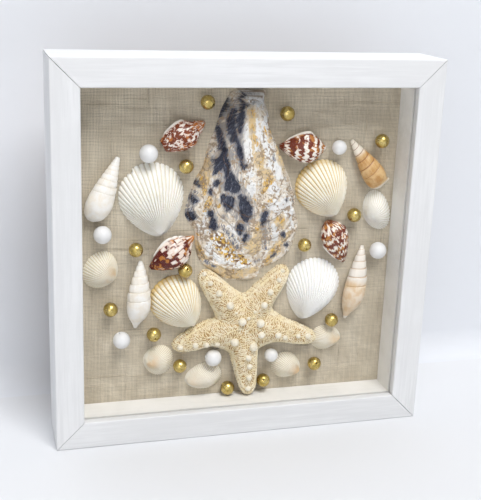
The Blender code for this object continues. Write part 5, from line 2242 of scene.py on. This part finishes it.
@dataclass
class Hardware:
    """Turn buttons with their screws, and the hanger with its nails."""

    bevel: float = 0.00025
    screw_radius: float = 0.0015
    head_radius: float = 0.0032
    head_height: float = 0.0016
    grip: float = 0.010
    slot_width: float = 0.0009
    slot_length: float = 0.0036
    nail_radius: float = 0.0016
    nail_height: float = 0.0006
    nail_inset: float = 0.0032
    ear_depth: float = 0.0009

    SIDES = ("top", "bottom", "left", "right")

    def build(self) -> None:
        """Build all of it."""
        for side in self.SIDES:
            self.build_button(side)
        self.build_screws()
        coated("sawtooth_hanger", ZINC)
        self.build_nails()

    def build_button(self, side: str) -> None:
        """Round the edges of a turn button.

        Args:
            side: the rail that it turns on.
        """
        mesh = recalculated(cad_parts[f"turn_button_{side}"].data.copy(), merge=0.01 * MM)
        bm = bmesh.new()
        bm.from_mesh(mesh)
        bmesh.ops.dissolve_limit(bm, angle_limit=math.radians(1), verts=bm.verts, edges=bm.edges)
        rims = [e for e in bm.edges if len(e.link_faces) == 2 and e.calc_face_angle() > math.radians(60)]
        bmesh.ops.bevel(bm, geom=rims, offset=self.bevel, segments=3, profile=0.5, affect="EDGES")
        bm.to_mesh(mesh)
        bm.free()
        piece = new_object(f"zinc_button_{side}", mesh, ZINC.material())
        mesh.set_sharp_from_angle(angle=math.radians(50))
        dressed(piece, f"button_{side}", "zinc", f"turn_button_{side}")

    def screw_mesh(self) -> Mesh:
        """One screw with a domed, cross-slotted head, its seat at height 0. Returns its mesh."""
        dome = [(radius, height * 0.65 + self.head_height * 0.35)
                for radius, height in arc(self.head_radius, self.head_height, 8)]
        screw = linked("screw", turned_mesh("screw", [
            *dome, (self.head_radius, 0.0), (self.screw_radius, 0.0), (self.screw_radius, -self.grip * 0.85),
            (0.0002, -self.grip),
        ], 40))
        cutters = []
        for size in ((self.slot_length, self.slot_width), (self.slot_width, self.slot_length)):
            bm = bmesh.new()
            bmesh.ops.create_cube(bm, size=1.0)
            bmesh.ops.scale(bm, vec=(*size, self.head_height * 1.2), verts=bm.verts)
            bmesh.ops.translate(bm, vec=(0, 0, self.head_height * 1.1), verts=bm.verts)
            cutters.append(linked("slot", mesh_of("slot", bm)))
            screw.modifiers.new("slot", "BOOLEAN").object = cutters[-1]
        mesh = evaluated(screw)
        for item in (screw, *cutters):
            bpy.data.objects.remove(item)
        return mesh

    def build_screws(self) -> None:
        """Place a screw in each turn button."""
        nodes = [f"turn_button_screw_{side}" for side in self.SIDES]
        spots = Spots()
        for index, node in enumerate(nodes):
            low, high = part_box(node)
            spots.add(((low.x + high.x) / 2, high.y - self.head_height, (low.z + high.z) / 2),
                      (-math.pi / 2, math.radians(20 + 37 * index), 0))
        piece = spots.stamped("zinc_screws", self.screw_mesh(), ZINC)
        piece.data.set_sharp_from_angle(angle=math.radians(40))
        dressed(piece, BOX_BODY, "zinc", *nodes)

    def build_nails(self) -> None:
        """Set a nail through each ear of the hanger."""
        low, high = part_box("sawtooth_hanger")
        nail = turned_mesh("nail", [*arc(self.nail_radius, self.nail_height, 6), (self.nail_radius, -0.0001),
                                    (0.0005, -0.0001), (0.0005, -0.003)], 28)
        spots = Spots()
        for x in (low.x + self.nail_inset, high.x - self.nail_inset):
            spots.add((x, low.y + self.ear_depth, (low.z + high.z) / 2), (-math.pi / 2, 0, 0))
        dressed(spots.stamped("hanger_nails", nail, ZINC), BOX_BODY, "zinc")


# The display, placed in shares of the opening


BARREL = ((0.0, 0.46), (0.15, 0.74), (0.32, 0.94), (0.50, 1.0), (0.64, 0.88), (0.74, 0.64), (0.88, 0.40),
          (1.0, 0.12))
BICONIC = ((0.0, 0.14), (0.12, 0.46), (0.28, 0.78), (0.48, 1.0), (0.62, 0.97), (0.76, 0.72), (0.88, 0.38),
           (1.0, 0.08))
TOP_HEAVY = ((0.0, 0.14), (0.12, 0.38), (0.28, 0.64), (0.48, 0.88), (0.66, 1.0), (0.82, 0.90), (0.93, 0.56),
             (1.0, 0.14))
ROUND_FOOT = ((0.0, 0.28), (0.06, 0.64), (0.16, 0.90), (0.28, 1.0), (0.45, 0.90), (0.65, 0.66), (0.85, 0.38),
              (1.0, 0.16))
SPOUTED = ((0.0, 0.12), (0.08, 0.34), (0.18, 0.70), (0.30, 0.95), (0.44, 1.0), (0.58, 0.90), (0.72, 0.70),
           (0.87, 0.44), (1.0, 0.14))

SMALL = {"points_per_rib": 8, "rows": 40}
COCKLES = (
    Cockle("cockle_upper_left", (-0.505, 0.074), (-0.608, 0.522), 0.405, 0.62, COCKLE_WHITE, "cockle_white",
           ribs=42, rib_height=0.0013, nick=0.095, nick_turn=3.50),
    Cockle("cockle_upper_right", (0.614, 0.162), (0.436, 0.506), 0.348, 0.62, COCKLE_CREAM, "cockle_cream",
           ribs=38, rib_height=0.0011, margin_side=3.9),
    Cockle("cockle_lower_left", (-0.280, -0.518), (-0.498, -0.210), 0.326, 0.62, COCKLE_CREAM, "cockle_cream",
           pinch=0.30, ribs=34, rib_height=0.0011, margin_side=3.5),
    Cockle("cockle_lower_right", (0.428, -0.522), (0.542, -0.120), 0.362, 0.62, COCKLE_SNOW, "cockle_white",
           ribs=42, rib_height=0.0010),
    Cockle("small_cockle_left_edge", (-0.773, -0.175), (-0.955, -0.075), 0.240, 0.45, COCKLE_TINTED,
           "cockle_cream", pinch=0.10, ribs=40, rib_height=0.00070, **SMALL),
    Cockle("small_cockle_right_edge", (0.812, 0.155), (0.976, 0.222), 0.272, 0.40, COCKLE_WHITE, "cockle_white",
           pinch=0.05, ribs=36, rib_height=0.00080, **SMALL),
    Cockle("small_cockle_low_left", (-0.604, -0.718), (-0.418, -0.752), 0.202, 0.42, COCKLE_TINTED,
           "cockle_white", pinch=0.10, ribs=44, rib_height=0.00055, **SMALL),
    Cockle("small_cockle_bottom_left", (-0.335, -0.892), (-0.098, -0.850), 0.180, 0.42, COCKLE_PEACH,
           "cockle_white", pinch=0.12, ribs=44, rib_height=0.00050, **SMALL),
    Cockle("small_cockle_bottom_right", (0.435, -0.882), (0.250, -0.797), 0.182, 0.42, COCKLE_TINTED,
           "cockle_white", pinch=0.14, ribs=40, rib_height=0.00055, **SMALL),
    Cockle("small_cockle_low_right", (0.710, -0.664), (0.500, -0.659), 0.172, 0.32, COCKLE_TINTED,
           "cockle_cream", pinch=0.12, ribs=40, rib_height=0.00055, **SMALL),
)

COILS = (
    Coil("conch_top_left", (-0.500, 0.632), (-0.247, 0.766), 0.165, 0.64, CONCH_FINE, "conch", stations=BARREL,
         whorls=4, coil_start=0.62, taper=0.25, seam_depth=0.10, step_out=0.08, lip=0.20),
    Coil("conch_top_right", (0.224, 0.616), (0.530, 0.601), 0.175, 0.64, CONCH_RAYED, "conch", stations=BICONIC,
         whorls=4, coil_start=0.62, taper=0.25, seam_depth=0.10, step_out=0.10, lip=0.20, folds=9,
         fold_height=0.025, dark=(0.30, 0.30, 0.22), rays=3),
    Coil("conch_middle_left", (-0.566, -0.124), (-0.296, 0.066), 0.176, 0.66, CONCH_BOLD, "conch",
         stations=BICONIC, whorls=4, coil_start=0.64, taper=0.25, seam_depth=0.08, step_out=0.10, lip=0.22,
         lip_reach=(0.10, 0.95)),
    Coil("conch_middle_right", (0.692, -0.142), (0.560, 0.134), 0.172, 0.64, CONCH_STRIPED, "conch",
         stations=TOP_HEAVY, whorls=4, coil_start=0.66, taper=0.25, seam_depth=0.08, step_out=0.06, lip=0.18),
    Coil("auger_top_left", (-0.926, 0.192), (-0.760, 0.566), 0.156, 0.62, AUGER_WHITE, "auger_white",
         stations=ROUND_FOOT, whorls=7, coil_start=0.44, taper=0.34, seam_depth=0.05, step_out=0.06, bulge=0.03),
    Coil("auger_low_left", (-0.656, -0.508), (-0.624, -0.076), 0.146, 0.60, AUGER_WHITE, "auger_white",
         stations=SPOUTED, whorls=5, coil_start=0.43, taper=0.40, seam_depth=0.05, step_out=0.12, folds=11,
         fold_height=0.010),
    Coil("auger_top_right", (0.904, 0.346), (0.690, 0.646), 0.140, 0.58, AUGER_TAN, "auger_tan",
         stations=ROUND_FOOT, whorls=5, coil_start=0.33, taper=0.42, seam_depth=0.06, step_out=0.02, bulge=0.03,
         lip=0.06, spur=0.9),
    Coil("auger_low_right", (0.728, -0.534), (0.816, -0.040), 0.142, 0.62, AUGER_PALE, "auger_tan",
         stations=SPOUTED, whorls=5, coil_start=0.46, taper=0.40, seam_depth=0.06, step_out=0.12, folds=10,
         fold_height=0.008),
)


def in_threes(*numbers: int) -> tuple[tuple[float, float, float], ...]:
    """Read whole thousandths three by three: a place's two shares and its half width, or its fold."""
    shares = [number / 1000 for number in numbers]
    return tuple(zip(shares[::3], shares[1::3], shares[2::3]))


OYSTER_OUTLINE = in_threes(
    -53, 963, 0, -135, 868, 500, -180, 730, -600, -225, 610, 800, -252, 500, -500, -296, 422, 700, -330, 330, -800,
    -356, 224, 900, -336, 164, -900, -293, 104, 600, -290, 34, -400, -280, -27, 500, -249, -100, -700,
    -165, -170, 600, -80, -222, -500, 40, -232, 700, 120, -220, -800, 140, -167, 400, 247, -120, -600, 310, -64, 800,
    345, 0, -700, 370, 103, 900, 340, 190, -800, 345, 275, 500, 318, 340, -600, 306, 373, 300, 242, 523, -500,
    193, 612, 700, 146, 738, -400, 137, 815, 500, 103, 919, -300, 103, 963, 0,
)
OYSTER_STAINS = {stain: [in_threes(*stroke) for stroke in strokes] for stain, strokes in {
    Stain.HAZE: (
        (-95, 880, 24, -140, 760, 34, -135, 640, 40, -130, 540, 60, -110, 440, 75, -70, 330, 85, 0, 230, 75,
         0, 80, 50),
        (-70, 870, 24, -75, 740, 40, -60, 610, 32, -40, 530, 28), (-340, 200, 34, -310, 320, 34),
        (-200, 200, 30, -190, 130, 34), (120, 225, 30, 150, 40, 36),
    ),
    Stain.NAVY: (
        (-115, 897, 10, -152, 835, 14, -185, 782, 12),
        (-176, 747, 18, -165, 669, 18, -153, 595, 22, -171, 540, 34, -198, 480, 18),
        (-88, 850, 14, -103, 799, 20, -109, 740, 26, -98, 690, 20),
        (-50, 891, 10, -46, 842, 14, -56, 783, 20, -61, 735, 18),
        (-75, 680, 12, -62, 640, 16, -50, 560, 16, -28, 515, 12), (-153, 595, 16, -130, 500, 18, -112, 440, 24),
        (-21, 523, 14, -30, 510, 10), (-123, 467, 22, -106, 415, 40, -90, 390, 34), (-186, 420, 16, -195, 405, 14),
        (-142, 326, 22, -112, 300, 36, -110, 266, 20), (-33, 328, 18, -12, 283, 26),
        (-1, 244, 34, 6, 205, 32, 17, 179, 12), (-31, 132, 26, -28, 107, 16), (15, 82, 12, 11, 52, 14, 8, 20, 8),
        (126, 225, 14, 121, 177, 22, 117, 142, 14), (-197, 185, 12, -191, 141, 24), (-335, 210, 24, -312, 190, 22),
        (-312, 308, 20, -300, 305, 14), (-295, 413, 10, -290, 400, 8), (-223, 367, 14, -221, 352, 10),
        (-218, 230, 12, -214, 222, 10), (-37, 939, 7, -66, 916, 5, -45, 891, 6, -24, 880, 5),
        (254, 70, 13, 262, 62, 10), (290, -5, 11, 296, -10, 8), (219, -71, 9, 205, -77, 6),
        (101, -102, 8, 115, -98, 5), (-136, 213, 7, -134, 195, 6), (255, 303, 6, 257, 298, 5),
    ),
    Stain.SLATE: (
        (-85, 902, 10, -88, 848, 18, -75, 790, 20, -85, 700, 26),
        (-97, 696, 24, -86, 647, 24, -70, 600, 22, -45, 540, 22), (134, 612, 8, 156, 558, 12),
        (240, 442, 12, 252, 420, 10), (-60, 380, 20, -40, 340, 22), (-307, 355, 16, -300, 350, 12),
        (-335, 248, 22, -318, 240, 18), (169, 68, 12, 146, 34, 18, 152, -10, 24), (160, 110, 10, 178, 85, 10),
        (-150, 160, 14, -110, 110, 16, -50, 20, 22, -10, -20, 20),
        (267, 378, 8, 290, 340, 8, 318, 290, 10, 320, 250, 8), (-221, -98, 14, -160, -134, 10),
        (0, 130, 12, 8, 100, 10), (-230, 560, 6, -205, 620, 6),
    ),
    Stain.SAND: (
        (73, 119, 45, 110, 69, 48, 47, 17, 42, 78, -18, 40),
        (-149, 776, 8, -151, 708, 9, -133, 629, 11, -120, 560, 12), (6, 845, 26, 18, 786, 30, 20, 742, 26),
        (30, 690, 34, 53, 590, 40, 60, 540, 36), (89, 486, 30, 140, 440, 34), (220, 174, 32, 235, 130, 26),
        (-246, 588, 18, -235, 534, 24, -252, 476, 28, -258, 420, 28), (-285, 26, 24, -258, -34, 28, -232, -78, 20),
        (-200, -130, 26, -115, -170, 34, -45, -185, 34, 29, -180, 28, 103, -160, 22),
        (175, -110, 26, 223, -40, 40, 246, 17, 30, 293, 74, 16), (180, 640, 16, 190, 560, 16, 225, 500, 16),
    ),
    Stain.CHALK: (
        (-30, 760, 16, -26, 665, 28, -9, 601, 30, -7, 537, 24, 6, 468, 28),
        (112, 808, 26, 85, 741, 30, 92, 686, 26, 114, 622, 30, 142, 538, 30, 173, 488, 28, 205, 440, 20),
        (0, 962, 50, 40, 925, 55, 85, 945, 40), (19, 395, 30, 20, 351, 28), (158, 385, 38, 180, 370, 30),
        (261, 270, 52, 283, 211, 28, 289, 172, 20), (159, 283, 40, 200, 250, 36),
        (182, 146, 18, 209, 86, 26, 205, 47, 26), (-240, 157, 34, -265, 128, 28),
        (-201, 29, 22, -199, -25, 32, -173, -60, 26, -117, -91, 17, -47, -117, 13, 28, -129, 10),
        (-96, 138, 26, -64, 88, 28, -22, 32, 20), (307, 150, 16, 318, 100, 16), (53, 620, 18, 40, 800, 10),
        (-100, 520, 12, -75, 478, 12, -50, 440, 14), (-240, 300, 18, -232, 215, 18),
    ),
    Stain.OCHRE: (
        (-266, 440, 16, -264, 393, 22, -255, 350, 12), (-227, 333, 12, -230, 280, 26, -240, 255, 20),
        (-175, 283, 10, -170, 275, 8), (32, 693, 18, 52, 650, 10), (84, 750, 8, 98, 715, 10),
        (118, 780, 8, 126, 685, 14, 130, 668, 10), (86, 582, 10, 70, 530, 8, 40, 540, 6),
        (93, 373, 20, 122, 412, 22, 136, 430, 24), (150, 303, 16, 130, 300, 10), (36, 316, 12, 50, 310, 10),
        (107, 265, 9, 108, 255, 7), (215, 180, 14, 235, 165, 12), (223, -40, 26, 240, -10, 20),
        (-262, 10, 12, -250, -50, 16), (-90, -160, 10, -20, -172, 12), (160, -105, 16, 185, -85, 12),
        (-268, 82, 12, -262, 78, 8), (10, 860, 8, 20, 820, 8), (60, 130, 12, 80, 125, 10), (20, 760, 10, 15, 745, 8),
    ),
    Stain.MOSAIC: (
        (-210, 107, 22, -160, 65, 40, -110, 0, 44, -55, -58, 40, 5, -95, 30, 50, -105, 18),
    ),
}.items()}
OYSTER_RIDGES = [in_threes(*stroke) for stroke in (
    (-245, 105, 3, -178, 122, 5, -145, 85, 5, -100, 45, 5, -75, 0, 5, -30, -35, 4, 20, -60, 3),
    (-68, 325, 4, -28, 256, 4), (-212, 342, 5, -172, 322, 6, -130, 266, 5, -100, 200, 3),
    (273, 345, 4, 300, 305, 5, 320, 265, 5, 300, 205, 5, 290, 140, 3), (217, -12, 3, 262, 35, 4, 316, 75, 3),
    (-114, 883, 4, -131, 815, 6, -144, 756, 6, -147, 690, 6, -129, 617, 7, -112, 536, 8, -69, 478, 7, -27, 411, 4),
    (-39, 862, 4, -36, 774, 5, -53, 704, 5, -50, 635, 5, -23, 566, 5, 0, 520, 3),
    (85, 860, 4, 126, 798, 5, 95, 730, 5, 112, 640, 5, 152, 560, 5, 200, 490, 4),
    (-203, -95, 4, -115, -125, 5, -20, -142, 5, 62, -110, 3),
)]

STARFISH = Starfish(
    centre=(0.020, -0.501),
    arms=((128.0, 0.430, 0.0), (50.5, 0.450, 0.0), (-16.0, 0.515, 0.26), (-84.0, 0.490, 0.40),
          (-161.0, 0.462, 0.0)),
    notches=((168.0, 0.172), (86.0, 0.178), (17.5, 0.215), (-57.0, 0.235), (-110.0, 0.222)),
    sides=((0.52, 0.084), (0.80, 0.062), (0.95, 0.040)),
    knobs=(
        (-0.23, -0.17, 0.016), (-0.20, -0.22, 0.018), (-0.15, -0.28, 0.022), (-0.08, -0.36, 0.026),
        (0.27, -0.17, 0.016), (0.24, -0.22, 0.018), (0.18, -0.29, 0.022), (0.14, -0.37, 0.024),
        (0.0, -0.47, 0.029), (0.12, -0.49, 0.030), (0.13, -0.57, 0.026), (-0.04, -0.61, 0.030),
        (0.08, -0.65, 0.032), (0.24, -0.58, 0.022), (0.29, -0.60, 0.019), (0.38, -0.60, 0.018),
        (0.45, -0.61, 0.021), (0.05, -0.72, 0.023), (0.06, -0.78, 0.021), (0.06, -0.86, 0.021),
        (0.06, -0.94, 0.021), (0.04, -0.45, 0.013), (0.08, -0.41, 0.012), (-0.04, -0.41, 0.010),
        (-0.38, -0.64, 0.021), (-0.29, -0.62, 0.021), (-0.22, -0.62, 0.020), (-0.15, -0.62, 0.021),
    ),
)

GOLD_TILTS = (
    (80, 20), (75, 130), (80, 60), (85, 40), (70, 100), (75, 75), (25, 0), (80, 30), (20, 10), (30, 160),
    (75, 90), (80, 45), (85, 120), (25, 170), (30, 200),
)
WHITE_TILTS = tuple((80, 50 * index) for index in range(7))


def main() -> None:
    """Build the studio and every piece in order."""
    logging.basicConfig(level=logging.INFO, format="%(name)s %(message)s")
    plot = Plot.from_frame()
    Studio().build()
    Rails().build()
    Layers().build(plot)
    for shell in (*COCKLES, *COILS):
        shell.build(plot)
    Oyster(OYSTER_OUTLINE, (0.030, 0.900), OYSTER_STAINS, OYSTER_RIDGES).build(plot)
    STARFISH.build(plot)
    Beads("gold_pearl_beads", [f"gold_bead_{i + 1:02}" for i in range(15)], GOLD_TILTS, GOLD_PEARL,
          "gold_pearl").build()
    Beads("white_beads", [f"white_bead_{i + 1}" for i in range(7)], WHITE_TILTS, WHITE_PEARL,
          "white_pearl").build()
    Hardware().build()


if __name__ == "__main__":
    main()
